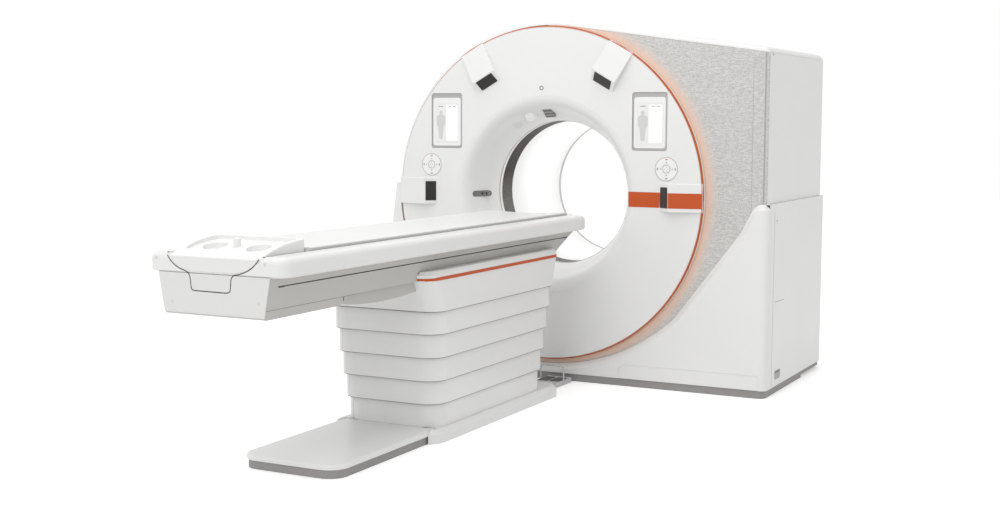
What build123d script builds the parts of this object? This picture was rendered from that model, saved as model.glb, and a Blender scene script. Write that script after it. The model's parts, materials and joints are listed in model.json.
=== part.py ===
"""Computed-tomography scanner: gantry with a round tunnel, and a lifting patient table.

Millimetres, Z up, floor at z = 0. Y runs along the tunnel, from the table into the gantry.
The origin is the point of the floor under the centre of the scan plane.
"""

import os
from math import cos, degrees, radians, sin, sqrt, tan

from build123d import *

os.makedirs("parts", exist_ok=True)

# Gantry enclosure
tunnel_r = 410
front_y = -353
gantry_depth = 1160
ring_r = 936
ring_clearance = 114
left_margin = 32
left_lean = 7.5
right_x = 1275
ledge = 20
ledge_height = 1027
roof_slope = 8.2
roof_corner_r = 40
lid_lip = 27
lid_seam_x = 300
left_seam_angle = 135
panel_setback = 40
front_edge_r = 25
rear_edge_r = 60
side_seam = 50
rear_seam_x = 1180
rear_seam_left_x = -880
cover_wall = 5
seam = 0.8
seat_gap = 0.3

# Front cover
cover_skin = 6
disc_depth = 58
ring_light_depth = 14
ring_light_width = 10
ring_light_face = 2
flare_r = 552
flare_mid_r = 470
flare_mid_depth = 92
flare_depth = 286

# Lower front covers
fender_depth = 48
fender_drop = 25
fender_foot = (768, 388)
fender_knee = (1134, 869)
fender_shoulder_x = 1215
fender_blends = (300, 250, 70)
fender_corner_r = 38
fender_bevel = 30
fender_seam_angle = 228
fender_hug = 2
fender_left_rise = 42
fender_left_bevel = 12
kick_left_x = 462
kick_height = 78
kick_corner_r = 40
kick_thick = 4

# Tunnel
window_width = 132
window_wall = 4
rear_flare_r = 462
rear_flare_depth = 48

# Units on the front cover
display_rise = 407
display_margin = 15.9
display_size = (202, 314)
display_corner_r = 14
display_thick = 20
display_recess = 5
pad_rise = 153
pad_margin = 194
pad_r = 66
pad_pocket = 10
pad_cup_wall = 6
pad_stand_out = 2
ring_key_inner_r = 26
key_thick = 8
button_r = 22
key_gap = 0.6
pod_angles = {"pod_right_lower": 0, "pod_right_upper": 60.5, "pod_left_upper": 119.5, "pod_left_lower": 180}
pod_inner_r = 690
pod_ridge_r = 752
pod_margin = 2
pod_width = 155
pod_rise = 42
pod_outer_rise = 9
pod_edge_r = 5
pane_size = (58, 108)
pane_stand_out = 1
band_height = 82
band_drop = 15
band_inner_x = 500
band_thick = 1.5
band_gap = 0.3
pill_size = (124, 34)
pill_thick = 9
dome_angle = 107.7
dome_r = 38
dome_lift = 2
dome_foot = 25
bore_display_size = (58, 74)
bore_display_angle = 93.5
unit_r = 456
unit_slope = 46
unit_stand_out = 1.2
unit_gap = 0.4

# Gantry base and rotor
base_height = 42
base_inset = 10
base_corner_r = 45
base_rear_lift = 17
base_rear_start = 740
anchor_hole_r = 11
gantry_anchor_spacing = (1900, 800)
gantry_anchor_centre = (100, 197)
rotor_r = 860
rotor_inner_r = 455
rotor_skin = 12
rotor_front = 200
rotor_plate_y = 480
hub_r = 640
hub_wall = 40
hub_length = 205
race_width = 60
inner_race_r = 690
outer_race_r = 740
running_gap = 0.05
stator_r = 900
stator_front = 505
stator_thick = 115
stator_foot = (120, 700, 78)
stator_foot_x = 700
slip_ring_r = 655
slip_ring_width = 90
slip_ring_front = 600
drive_gap = 2.5
drive_front = 566
drive_width = 28
brush_angle = 205
brush_size = (70, 60)
brush_gap = 0.5
detector_inner_r = 560
detector_outer_r = 700
detector_span = 56
detector_width = 150
tube_r = 95
tube_length = 240
tube_radius = 640
cooler_size = (210, 200, 220)
generator_size = (220, 330, 200)
bay_radius = 690
unit_corner_r = 15
tube_angle = 90

# Table
table_end = -2915
frame_start = -160
frame_top = 874
frame_top_x = 264
frame_bottom = 750
frame_bottom_x = 242
belly_drop = 38
belly_end = -2370
belly_run = 30
frame_taper = 240
frame_wall = 6
frame_end_r = 18
groove_height = 836
groove_size = (5, 6)
neck_drop = 58
neck_end_drop = 43
neck_x = 225
neck_start = -1760
neck_end = -2385
neck_run = 55
top_x = 328
top_thick = 76
top_start = -125
top_end_r = 60
top_edge_r = 26
cradle_x = 225
cradle_flank = ((213, 930), (153, 893), (100, 883))
cradle_rise = 14
cradle_dish = 10
cradle_start = -190
cradle_gap = 0.5
tray_x = 214
tray_depth = 315
tray_sink = 16
tray_brow = (-10, 25, 47)
tray_corner_r = 34
tray_rim = 20
tray_front_rim = 60
tray_dip = 14
dish_r = 50
dish_x = 105
dish_sink = 8
knob_r = 15
knob_rise = 53
knob_from_end = 150
head_bottom = 605
head_top = 792
head_bottom_box = (302, -1739, -452)
head_top_box = (306, -1838, -400)
head_corner_r = 100
head_wall = 4
strip_height = 752
strip_width = 10
strip_thick = 1.5

# Pedestal
stage_count = 5
stage_box = (293, -1723, -462)
stage_step = (9, 16)
stage_pitch = 109.5
stage_height = 130
stage_corner_r = 102
stage_wall = 3
guide_size = (60, 16)
guide_spread = 300
guide_top_gap = 2
guide_gap = 0.3
plinth_top = 61
foot_box = (240, -2449, -1640)
foot_corner_r = 78
foot_base_height = 38
foot_overhang = 8
foot_edge_r = 12
skirt_box = (290, -1745, -360)
skirt_lap = 7
base_gap = 4
skirt_bevel = 18
table_anchor_spacing = (380, 1000)
table_anchor_y = -1100
column_size = (300, 420)
column_wall = 10
column_step = 26
column_length = 250
column_travel = 225
column_stop = 3
column_corner_r = 20
column_pad_size = (90, 14)

# Foot switch
switch_box = (40, 190, -215, -15)
switch_height = 26
switch_floor = 12
switch_corner_r = 12
switch_bevel = 5
switch_web = 11
tongue_size = (90, 10)
pedal_size = (56, 118, 10)
pedal_rise = 3
pedal_side_gap = 1.5
pin_r = 2.5
pin_reach = 4.5
pin_inset = 8
guard_bar_r = 4.5
guard_inset = 5.2
guard_height = 105
guard_y = -120
guard_bend_r = 22

# Values worked out from the sizes above
rear_y = front_y + gantry_depth
tunnel_height = ring_clearance + ring_r
left_r = ring_r + left_margin
fender_low = ring_clearance - fender_drop
fender_top = tunnel_height + fender_left_rise
display_reach = ring_r - display_margin
display_x = sqrt(display_reach**2 - (display_rise + display_size[1] / 2) ** 2) - display_size[0] / 2
display_height = tunnel_height + display_rise
pad_x = sqrt((ring_r - pad_margin) ** 2 - pad_rise**2)
pad_height = tunnel_height + pad_rise
pod_outer_r = ring_r - pod_margin
pill_angle = 180 + degrees(band_drop / unit_r)
tunnel_axis = Axis((0, 0, tunnel_height), (0, 1, 0))
far = 4000
table_top_z = frame_top + top_thick
stage_bottoms = [plinth_top + seat_gap + stage_pitch * i for i in range(stage_count)]
last_stage = stage_count - 1
last_stage_box = (
    stage_box[0] - last_stage * stage_step[0],
    stage_box[1] + last_stage * stage_step[1],
    stage_box[2] - last_stage * stage_step[1],
)
pedestal_centre = front_y + (stage_box[1] + stage_box[2]) / 2
cover_bottom = base_height + seam


def along(depth):
    """Y of a place that lies this far behind the front cover's face."""
    return front_y + depth


def upright(y):
    """Upright plane across the tunnel at this Y, with X to the right and Z up."""
    return Plane(origin=(0, y, 0), x_dir=(1, 0, 0), z_dir=(0, -1, 0))


def radial_plane(angle, radius, depth, slope=0):
    """Plane on the tunnel's wall at an angle from +X, tilted by slope from facing the front.

    Its own x runs round the tunnel, its own y outwards along the wall.
    """
    outward = Vector(cos(radians(angle)), 0, sin(radians(angle)))
    forward = Vector(0, -1, 0)
    normal = forward * cos(radians(slope)) - outward * sin(radians(slope))
    wall = outward * cos(radians(slope)) + forward * sin(radians(slope))
    origin = outward * radius + Vector(0, along(depth), tunnel_height)
    return Plane(origin=origin, x_dir=wall.cross(normal), z_dir=normal)


def polar(angle, r):
    """Point (x, z) across the tunnel, at an angle from +X and a radius from its axis."""
    return (r * cos(radians(angle)), tunnel_height + r * sin(radians(angle)))


def save(piece, name):
    """Label a finished piece and write it."""
    piece.label = name
    export_step(piece, f"parts/{name}.step")


def roof_line(x, inset=0):
    """Height of the sloping roof at x, or of a line that lies inset below it."""
    slope = radians(roof_slope)
    start = ((left_r - inset) * sin(slope), tunnel_height + (left_r - inset) * cos(slope))
    return start[1] - (x - start[0]) * tan(slope)


def left_wall_x(inset, height):
    """X of the leaning left wall at a height, or of a line that lies inset behind it."""
    lean = radians(left_lean)
    r = left_r - inset
    return -r * cos(lean) - (tunnel_height + r * sin(lean) - height) * tan(lean)


def body_face(side_x, inset=0, bottom=cover_bottom):
    """Face inside the enclosure's outline: straight right side, sloping roof, round top left, leaning left wall."""
    slope = radians(roof_slope)
    r = left_r - inset
    right = side_x - inset
    top = (r * sin(slope), tunnel_height + r * cos(slope))
    corner = (right, roof_line(right, inset))
    with BuildSketch() as face:
        with BuildLine():
            Line((left_wall_x(inset, bottom), bottom), polar(180 - left_lean, r))
            CenterArc((0, tunnel_height), r, 90 - roof_slope, 90 + roof_slope - left_lean)
            Line(top, corner)
            Line(corner, (right, bottom))
            Line((right, bottom), (left_wall_x(inset, bottom), bottom))
        make_face()
        fillet(face.vertices().sort_by_distance((corner[0], corner[1], 0))[0], roof_corner_r - min(inset, 30))
    return face.sketch


def envelope(side_x, inset, bottom):
    """Solid inside the enclosure, inset from its skin, with its front and rear edges rounded."""
    y0 = along(panel_setback) + inset
    y1 = rear_y - inset
    with BuildPart() as solid:
        with BuildSketch(upright(y0)):
            add(body_face(side_x, inset, bottom))
        extrude(amount=y0 - y1)
        rim = solid.edges().filter_by(lambda e: e.center().Z > bottom + 1)
        fillet(rim.group_by(Axis.Y)[0], front_edge_r - inset)
        rim = solid.edges().filter_by(lambda e: e.center().Z > bottom + 1)
        fillet(rim.group_by(Axis.Y)[-1], rear_edge_r - inset)
    return solid.part


upper_outer = envelope(right_x, 0, cover_bottom)
upper_inner = envelope(right_x, cover_wall, cover_bottom - 20)
lower_outer = envelope(right_x + ledge, 0, cover_bottom)
lower_inner = envelope(right_x + ledge, cover_wall, cover_bottom - 20)


def rising_arc(x, height, low):
    """Arc that is level at the lowest point under the tunnel and climbs to (x, height)."""
    rise = height - low
    r = (x**2 + rise**2) / (2 * rise)
    return ThreePointArc((0, low), (x / 2, low + r - sqrt(r**2 - x**2 / 4)), (x, height))


def fender_face(side_x, grow=0, bottom=cover_bottom):
    """Face of the wide lower front cover: arc under the ring, rise to the ledge, straight side."""
    low = fender_low + grow
    seam_turn = fender_seam_angle + degrees(seam / ring_r)
    seam_top = polar(seam_turn, ring_r + fender_hug - grow)
    seam_foot = (seam_top[0] - (seam_top[1] - bottom) / tan(radians(seam_turn)), bottom)
    corners = [(x, height + grow) for x, height in (fender_foot, fender_knee, (fender_shoulder_x, ledge_height))]
    with BuildSketch() as face:
        with BuildLine():
            rising_arc(*seam_top, low)
            rising_arc(*corners[0], low)
            Polyline(*corners, (side_x, ledge_height + grow), (side_x, bottom), seam_foot, seam_top)
        make_face()
        for corner, r in zip(corners, fender_blends):
            fillet(face.vertices().sort_by_distance((corner[0], corner[1], 0))[0], r)
    return face.sketch


def fender_block(inset):
    """Solid of the wide lower front cover, inset from its skin: bevelled upper edge, rounded corner."""
    side_x = right_x + ledge - inset
    with BuildPart() as solid:
        with BuildSketch(upright(front_y + inset)):
            add(fender_face(side_x, -2 * inset, cover_bottom - inset))
        extrude(amount=-fender_depth)
        corner = solid.edges().filter_by(Axis.Z).group_by(Axis.X)[-1]
        fillet(corner.sort_by(Axis.Y)[0], fender_corner_r - inset)
        upper = solid.faces().sort_by(Axis.Y)[0].edges().filter_by(lambda e: e.center().Z > cover_bottom + 5)
        bevel = upper.filter_by(lambda e: 1 < e.center().X < side_x - 1)
        chamfer(bevel.filter_by(Axis.Z, reverse=True), fender_bevel - inset)
    return solid.part


def left_fender_block(inset):
    """Solid of the left lower front cover, inset from its skin, between the ring and the leaning wall."""
    top = fender_top - inset
    with BuildPart() as solid:
        with BuildSketch(upright(front_y + inset)):
            add(body_face(right_x, inset, cover_bottom - inset))
            with BuildLine():
                Polyline((0, top), (-far, top), (-far, -far), polar(fender_seam_angle, far), (0, tunnel_height), (0, top))
            make_face(mode=Mode.INTERSECT)
            with Locations((0, tunnel_height)):
                Circle(ring_r + fender_hug + inset, mode=Mode.SUBTRACT)
        extrude(amount=-fender_depth)
        chamfer(solid.faces().sort_by(Axis.Y)[0].edges().sort_by(Axis.X)[0], fender_left_bevel)
    return solid.part


def kick_face(grow=0):
    """Face of the service panel at the foot of the right lower front cover."""
    right = right_x + ledge - fender_corner_r - 2 + grow
    with BuildSketch() as face:
        with BuildLine():
            FilletPolyline(
                (kick_left_x - grow, cover_bottom - 1 + grow),
                (kick_left_x - grow, cover_bottom + kick_height + grow),
                (right, cover_bottom + kick_height + grow),
                radius=kick_corner_r,
            )
            Polyline((right, cover_bottom + kick_height + grow), (right, cover_bottom - 1 + grow),
                     (kick_left_x - grow, cover_bottom - 1 + grow))
        make_face()
    return face.sketch


# Lower front covers: open shells behind their skins
with BuildPart() as front_fender_right:
    add(fender_block(0))
    add(fender_block(cover_wall), mode=Mode.SUBTRACT)
    with BuildSketch(upright(front_y - 1)):
        add(kick_face(seam))
    extrude(amount=-(1 + kick_thick), mode=Mode.SUBTRACT)
save(front_fender_right.part.solids().sort_by(SortBy.VOLUME)[-1], "front_fender_right")

with BuildPart() as front_fender_left:
    add(left_fender_block(0))
    add(left_fender_block(cover_wall), mode=Mode.SUBTRACT)
save(front_fender_left.part.solids().sort_by(SortBy.VOLUME)[-1], "front_fender_left")

with BuildPart() as kick_panel:
    with BuildSketch(upright(front_y)):
        add(kick_face())
        with Locations((0, cover_bottom + kick_height / 2 + 0.5)):
            Rectangle(2 * far, kick_height - 1, mode=Mode.INTERSECT)
    extrude(amount=-(kick_thick - seam))
save(kick_panel.part, "kick_panel")


def keep_zone(points, y0, y1):
    """Prism between two Y values over a polygon of (x, z) points."""
    with BuildPart() as zone:
        with BuildSketch(upright(y0)):
            with BuildLine():
                Polyline(*points, points[0])
            make_face()
        extrude(amount=y0 - y1)
    return zone.part


def inside_outline(inset, x0, x1, z0, y0, y1):
    """Prism inside the enclosure's inset outline, between two X values and two Y values, above z0."""
    with BuildPart() as zone:
        with BuildSketch(upright(y0)):
            add(body_face(right_x, inset, z0))
            with BuildLine():
                Polyline((x0, 0), (x1, 0), (x1, far), (x0, far), (x0, 0))
            make_face(mode=Mode.INTERSECT)
        extrude(amount=y0 - y1)
    return zone.part


woven_zone = inside_outline(lid_lip + seam, seam / 2, right_x, 0, front_y, along(side_seam)) + keep_zone(
    [(right_x - 2 * lid_lip, 0), (right_x + 5, 0), (right_x + 5, roof_line(right_x, lid_lip + seam)),
     (right_x - 2 * lid_lip, roof_line(right_x - 2 * lid_lip, lid_lip + seam))], front_y, along(side_seam))
crescent_zone = keep_zone([(seam, tunnel_height), polar(fender_seam_angle + 1, far), (seam, -far)], front_y,
                          along(side_seam))
rear_zone_y = rear_y - rear_edge_r - 5

# Woven front panel: right half of the front wall, wrapped round the corner as far as the side seam,
# with a crescent that runs on under the ring to the seam between the lower front covers
with BuildPart() as woven_panel:
    add(upper_outer)
    add(upper_inner, mode=Mode.SUBTRACT)
    add(woven_zone + crescent_zone, mode=Mode.INTERSECT)
    with BuildSketch(upright(front_y)):
        add(fender_face(right_x + ledge, seam))
    extrude(amount=-far, mode=Mode.SUBTRACT)
    with BuildSketch(upright(front_y)):
        with Locations((0, tunnel_height)):
            Circle(ring_r + seam)
    extrude(amount=-far, mode=Mode.SUBTRACT)
save(woven_panel.part.solids().sort_by(SortBy.VOLUME)[-1], "woven_panel")

# Left side cover: side wall with its narrow front rim, from the base to the roof seam
seam_ray = (far * cos(radians(left_seam_angle)), tunnel_height + far * sin(radians(left_seam_angle)))
with BuildPart() as left_side_cover:
    add(upper_outer)
    add(upper_inner, mode=Mode.SUBTRACT)
    add(keep_zone([(-seam / 2, 0), (-seam / 2, tunnel_height), seam_ray, (-far, 0)], front_y, far), mode=Mode.INTERSECT)
    add(inside_outline(lid_lip, rear_seam_left_x, right_x, 0, rear_zone_y, far), mode=Mode.SUBTRACT)
    fender_line = fender_top + seam
    add(keep_zone([(-far, 0), (0, 0), (0, fender_line), (-far, fender_line)], front_y, along(fender_depth) + seam),
        mode=Mode.SUBTRACT)
    with BuildSketch(upright(front_y)):
        with Locations((0, tunnel_height)):
            Circle(ring_r + seam)
    extrude(amount=-side_seam - cover_wall, mode=Mode.SUBTRACT)
save(left_side_cover.part.solids().sort_by(SortBy.VOLUME)[-1], "left_side_cover")

# Upper side cover: flat right side with the rounded rear corner
with BuildPart() as side_upper_cover:
    add(upper_outer)
    add(upper_inner, mode=Mode.SUBTRACT)
    low = ledge_height + seam
    high = lid_lip + seam
    add(keep_zone([(rear_seam_x, low), (right_x + 5, low), (right_x + 5, roof_line(right_x + 5, high)),
                   (rear_seam_x, roof_line(rear_seam_x, high))], along(side_seam) + seam, far), mode=Mode.INTERSECT)
save(side_upper_cover.part.solids().sort_by(SortBy.VOLUME)[-1], "side_upper_cover")

# Lower side cover: stands out by the ledge, which closes its top against the upper cover
with BuildPart() as side_lower_cover:
    add(lower_outer)
    add(lower_inner, mode=Mode.SUBTRACT)
    add(lower_outer & keep_zone([(0, ledge_height - cover_wall), (far, ledge_height - cover_wall),
                                 (far, ledge_height), (0, ledge_height)], front_y, far))
    add(upper_inner, mode=Mode.SUBTRACT)
    add(keep_zone([(rear_seam_x, 0), (far, 0), (far, ledge_height), (rear_seam_x, ledge_height)],
                  along(side_seam) + seam, far), mode=Mode.INTERSECT)
save(side_lower_cover.part.solids().sort_by(SortBy.VOLUME)[-1], "side_lower_cover")

# Roof: an arched left cover and a sloping right cover, each with a front and rear lip
with BuildPart() as top_cover:
    add(upper_outer)
    add(upper_inner, mode=Mode.SUBTRACT)
    with BuildSketch(upright(front_y)):
        add(body_face(right_x, lid_lip))
    extrude(amount=-far, mode=Mode.SUBTRACT)
    add(keep_zone([(0, tunnel_height + seam), (lid_seam_x, tunnel_height), (lid_seam_x, far),
                   (seam_ray[0] + seam, seam_ray[1] + seam)], front_y, far), mode=Mode.INTERSECT)
save(top_cover.part.solids().sort_by(SortBy.VOLUME)[-1], "top_cover")

with BuildPart() as top_cover_right:
    add(upper_outer)
    add(upper_inner, mode=Mode.SUBTRACT)
    x0 = lid_seam_x + seam
    x1 = right_x + 5
    lid = [(x0, roof_line(x0, lid_lip)), (x1, roof_line(x1, lid_lip)), (x1, far), (x0, far)]
    add(keep_zone(lid, front_y, far), mode=Mode.INTERSECT)
save(top_cover_right.part.solids().sort_by(SortBy.VOLUME)[-1], "top_cover_right")

# Rear cover: flat rear wall between the side covers, with the tunnel's rear mouth
with BuildPart() as rear_cover:
    add(upper_outer)
    add(upper_inner, mode=Mode.SUBTRACT)
    add(inside_outline(lid_lip + seam, rear_seam_left_x + seam, rear_seam_x - seam, 0, rear_zone_y, far),
        mode=Mode.INTERSECT)
    with BuildSketch(upright(front_y)):
        with Locations((0, tunnel_height)):
            Circle(rear_flare_r)
    extrude(amount=-far, mode=Mode.SUBTRACT)
    with BuildSketch(Plane.YZ):
        z0 = tunnel_height + tunnel_r
        z1 = tunnel_height + rear_flare_r
        y0 = rear_y - rear_flare_depth
        with BuildLine():
            Spline((y0, z0), (rear_y, z1), tangents=((1, 0), (0.2, 1)))
            Polyline((rear_y, z1), (rear_y, z1 + cover_wall), (rear_y - cover_wall, z1 + cover_wall))
            Spline((rear_y - cover_wall, z1 + cover_wall), (y0, z0 + cover_wall), tangents=((-0.2, -1), (-1, 0)))
            Line((y0, z0 + cover_wall), (y0, z0))
        make_face()
    revolve(axis=tunnel_axis)
save(rear_cover.part.solids().sort_by(SortBy.VOLUME)[-1], "rear_cover")


def flare(shift, z_shift=0):
    """Curve of the flared mouth from the flat front face to the tunnel, moved along the tunnel by shift."""
    zero = tunnel_height + z_shift
    return Spline(
        (front_y + shift, zero + flare_r),
        (along(flare_mid_depth) + shift * 0.7, zero + flare_mid_r),
        (along(flare_depth) - window_gap_y, zero + tunnel_r),
        tangents=((0.1, -1), (1, 0)),
    )


window_gap_y = 0.5


def unit_plane(angle, r):
    """Plane on the flare for a small unit at an angle and radius."""
    share = (flare_r - r) / (flare_r - tunnel_r)
    depth = flare_mid_depth * (share / 0.58) ** 1.35
    return radial_plane(angle, r, depth, unit_slope)


pill_plane = unit_plane(pill_angle, unit_r)
bore_display_plane = unit_plane(bore_display_angle, unit_r)
dome_plane = unit_plane(dome_angle, unit_r)

# Front cover: round skin with the notch for the ring light, and the flared mouth of the tunnel
ring_in = ring_r - ring_light_width - 0.5
notch_y = along(ring_light_depth) + 0.5
z = tunnel_height
with BuildPart() as front_cover:
    with BuildSketch(Plane.YZ):
        with BuildLine():
            Polyline(
                (along(disc_depth), z + ring_r - cover_skin),
                (along(disc_depth), z + ring_r),
                (notch_y, z + ring_r),
                (notch_y, z + ring_in),
                (front_y, z + ring_in),
                (front_y, z + flare_r),
            )
            mouth = flare(0)
            back = flare(cover_skin, cover_skin * 0.8)
            Line(mouth @ 1, back @ 1)
            Polyline(
                back @ 0,
                (front_y + cover_skin, z + ring_in - cover_skin),
                (notch_y + cover_skin, z + ring_in - cover_skin),
                (notch_y + cover_skin, z + ring_r - cover_skin),
                (along(disc_depth), z + ring_r - cover_skin),
            )
        make_face()
    revolve(axis=tunnel_axis)
    with BuildSketch(upright(front_y)):
        with Locations((-display_x, display_height), (display_x, display_height)):
            RectangleRounded(display_size[0] + 2 * unit_gap, display_size[1] + 2 * unit_gap, display_corner_r)
    extrude(amount=-2 * cover_skin, mode=Mode.SUBTRACT)
    with BuildSketch(upright(front_y)):
        with Locations((-pad_x, pad_height), (pad_x, pad_height)):
            Circle(pad_r + pad_cup_wall)
    extrude(amount=-(pad_pocket + pad_cup_wall))
    with BuildSketch(upright(front_y)):
        with Locations((-pad_x, pad_height), (pad_x, pad_height)):
            Circle(pad_r)
    extrude(amount=-pad_pocket, mode=Mode.SUBTRACT)
    with BuildSketch(pill_plane):
        SlotOverall(pill_size[0] + 2 * unit_gap, pill_size[1] + 2 * unit_gap, rotation=90)
    extrude(amount=-40, both=True, mode=Mode.SUBTRACT)
    with BuildSketch(bore_display_plane):
        Rectangle(bore_display_size[0] + 2 * unit_gap, bore_display_size[1] + 2 * unit_gap)
    extrude(amount=-40, both=True, mode=Mode.SUBTRACT)
save(front_cover.part.solids().sort_by(SortBy.VOLUME)[-1], "front_cover")

# Ring light: bevelled strip in the corner between the cover's face and its side
with BuildPart() as ring_light:
    with BuildSketch(Plane.YZ):
        with BuildLine():
            base_z = z + ring_r - ring_light_width
            Polyline(
                (front_y, base_z),
                (front_y, base_z + ring_light_face),
                (along(ring_light_depth), z + ring_r),
                (along(ring_light_depth), base_z),
                (front_y, base_z),
            )
        make_face()
    revolve(axis=tunnel_axis)
save(ring_light.part, "ring_light")

# Tunnel: dark scan window and the white liner behind it, out to the rear cover
with BuildPart() as scan_window:
    with BuildSketch(upright(along(flare_depth))):
        with Locations((0, tunnel_height)):
            Circle(tunnel_r + window_wall)
            Circle(tunnel_r, mode=Mode.SUBTRACT)
    extrude(amount=-window_width)
save(scan_window.part, "scan_window")

with BuildPart() as tunnel_liner:
    liner_y = along(flare_depth) + window_width + window_gap_y
    with BuildSketch(upright(liner_y)):
        with Locations((0, tunnel_height)):
            Circle(tunnel_r + window_wall)
            Circle(tunnel_r, mode=Mode.SUBTRACT)
    extrude(amount=liner_y - (rear_y - rear_flare_depth - window_gap_y))
save(tunnel_liner.part, "tunnel_liner")

# Displays, set back in their openings, and the two keys of each control pad
for side, sign in (("left", -1), ("right", 1)):
    with BuildPart() as display:
        with BuildSketch(upright(along(display_recess))):
            with Locations((sign * display_x, display_height)):
                RectangleRounded(*display_size, display_corner_r)
        extrude(amount=-display_thick)
        front = display.faces().sort_by(Axis.Y)[0]
        chamfer(front.edges(), 1.5)
    save(display.part, f"display_{side}")

    key_y = front_y - pad_stand_out
    with BuildPart() as control_ring:
        with BuildSketch(upright(key_y)):
            with Locations((sign * pad_x, pad_height)):
                Circle(pad_r - key_gap)
                Circle(ring_key_inner_r, mode=Mode.SUBTRACT)
        extrude(amount=-key_thick)
        fillet(control_ring.faces().sort_by(Axis.Y)[0].edges(), 1.5)
    save(control_ring.part, f"control_ring_{side}")

    with BuildPart() as control_button:
        with BuildSketch(upright(key_y)):
            with Locations((sign * pad_x, pad_height)):
                Circle(ring_key_inner_r - key_gap)
        extrude(amount=-key_thick)
        fillet(control_button.faces().sort_by(Axis.Y)[0].edges(), 1.5)
    save(control_button.part, f"control_button_{side}")

# Pods: wedges that point at the tunnel, each with a dark pane on its inner slope
for name, angle in pod_angles.items():
    outward = Vector(cos(radians(angle)), 0, sin(radians(angle)))
    across = Vector(-sin(radians(angle)), 0, cos(radians(angle)))
    side_plane = Plane(origin=(0, front_y, tunnel_height), x_dir=outward, z_dir=across * -1)
    slope_run = pod_ridge_r - pod_inner_r
    slope_length = sqrt(slope_run**2 + pod_rise**2)
    slope_out = (outward * -pod_rise + Vector(0, -1, 0) * slope_run) * (1 / slope_length)
    slope_mid = outward * ((pod_inner_r + pod_ridge_r) / 2) + Vector(0, front_y - pod_rise / 2, tunnel_height)
    with BuildPart() as pod:
        with BuildSketch(side_plane):
            with BuildLine():
                Polyline((pod_inner_r, 0), (pod_ridge_r, pod_rise), (pod_outer_r, pod_outer_rise),
                         (pod_outer_r, 0), (pod_inner_r, 0))
            make_face()
        extrude(amount=pod_width / 2, both=True)
        proud = pod.edges().filter_by(lambda e: e.center().Y < front_y - 1)
        fillet(proud, pod_edge_r)
        with BuildSketch(Plane(origin=slope_mid, x_dir=across, z_dir=slope_out)):
            RectangleRounded(pane_size[1], pane_size[0], 3)
        extrude(amount=pane_stand_out)
        with BuildSketch(Plane(origin=slope_mid, x_dir=across, z_dir=slope_out)):
            RectangleRounded(pane_size[1], pane_size[0], 3)
        extrude(amount=-3)
    save(pod.part, name)

# Space the flared mouth fills, grown a little, from which the pieces seated on it are cut
with BuildPart() as mouth_seat:
    with BuildSketch(Plane.YZ):
        with BuildLine():
            seat = flare(-band_gap, -band_gap)
            Polyline(seat @ 1, (rear_y, z + tunnel_r - band_gap), (rear_y, z + ring_r),
                     (front_y - band_gap, z + ring_r), seat @ 0)
        make_face()
    revolve(axis=tunnel_axis)

# Orange band: a thin strip that follows the flat face and the flare up to the lower right pod
with BuildPart() as accent_band:
    with BuildSketch(Plane.YZ):
        with BuildLine():
            upper = flare(-band_thick, -band_thick)
            Polyline(upper @ 1, (upper @ 1) + Vector(0, 20), (front_y, z + pod_inner_r - seam),
                     (front_y - band_thick, z + pod_inner_r - seam), upper @ 0)
        make_face()
    revolve(axis=tunnel_axis)
    band_z = tunnel_height - band_drop
    add(keep_zone([(band_inner_x, band_z - band_height / 2), (far, band_z - band_height / 2),
                   (far, band_z + band_height / 2), (band_inner_x, band_z + band_height / 2)],
                  front_y - 20, far), mode=Mode.INTERSECT)
    add(mouth_seat.part, mode=Mode.SUBTRACT)
save(accent_band.part.solids().sort_by(SortBy.VOLUME)[-1], "accent_band")

# Small units on the flare: status display, tunnel display and camera dome
with BuildPart() as status_display:
    with BuildSketch(pill_plane.offset(unit_stand_out)):
        SlotOverall(*pill_size, rotation=90)
    extrude(amount=-pill_thick)
save(status_display.part, "status_display")

with BuildPart() as bore_display:
    with BuildSketch(bore_display_plane.offset(unit_stand_out)):
        Rectangle(*bore_display_size)
    extrude(amount=-pill_thick)
save(bore_display.part, "bore_display")

with BuildPart() as camera_dome:
    with BuildSketch(dome_plane.offset(dome_lift)) as rim:
        Circle(dome_r)
    extrude(amount=dome_r * 0.62, taper=28)
    fillet(camera_dome.faces().sort_by_distance(dome_plane.origin + dome_plane.z_dir * 200)[0].edges(), 12)
    with BuildSketch(dome_plane.offset(dome_lift)):
        Circle(dome_r)
    extrude(amount=-dome_foot)
    add(mouth_seat.part, mode=Mode.SUBTRACT)
save(camera_dome.part.solids().sort_by(SortBy.VOLUME)[-1], "camera_dome")

# Gantry base: a thick steel plate with four anchor holes, lifted off the floor at the rear right
with BuildPart() as base_frame:
    x0 = left_wall_x(base_inset, 0)
    x1 = right_x + ledge - base_inset
    y0 = front_y + base_inset
    y1 = rear_y - base_inset
    with BuildSketch():
        with Locations(((x0 + x1) / 2, (y0 + y1) / 2)):
            RectangleRounded(x1 - x0, y1 - y0, base_corner_r)
    extrude(amount=base_height)
    with Locations((x1, y1, 0)):
        Box(2 * (x1 - rear_seam_x), 2 * (y1 - along(base_rear_start)), 2 * base_rear_lift, mode=Mode.SUBTRACT)
    with Locations((gantry_anchor_centre[0], gantry_anchor_centre[1], base_height)):
        with GridLocations(*gantry_anchor_spacing, 2, 2):
            Hole(anchor_hole_r)
save(base_frame.part, "base_frame")

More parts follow.
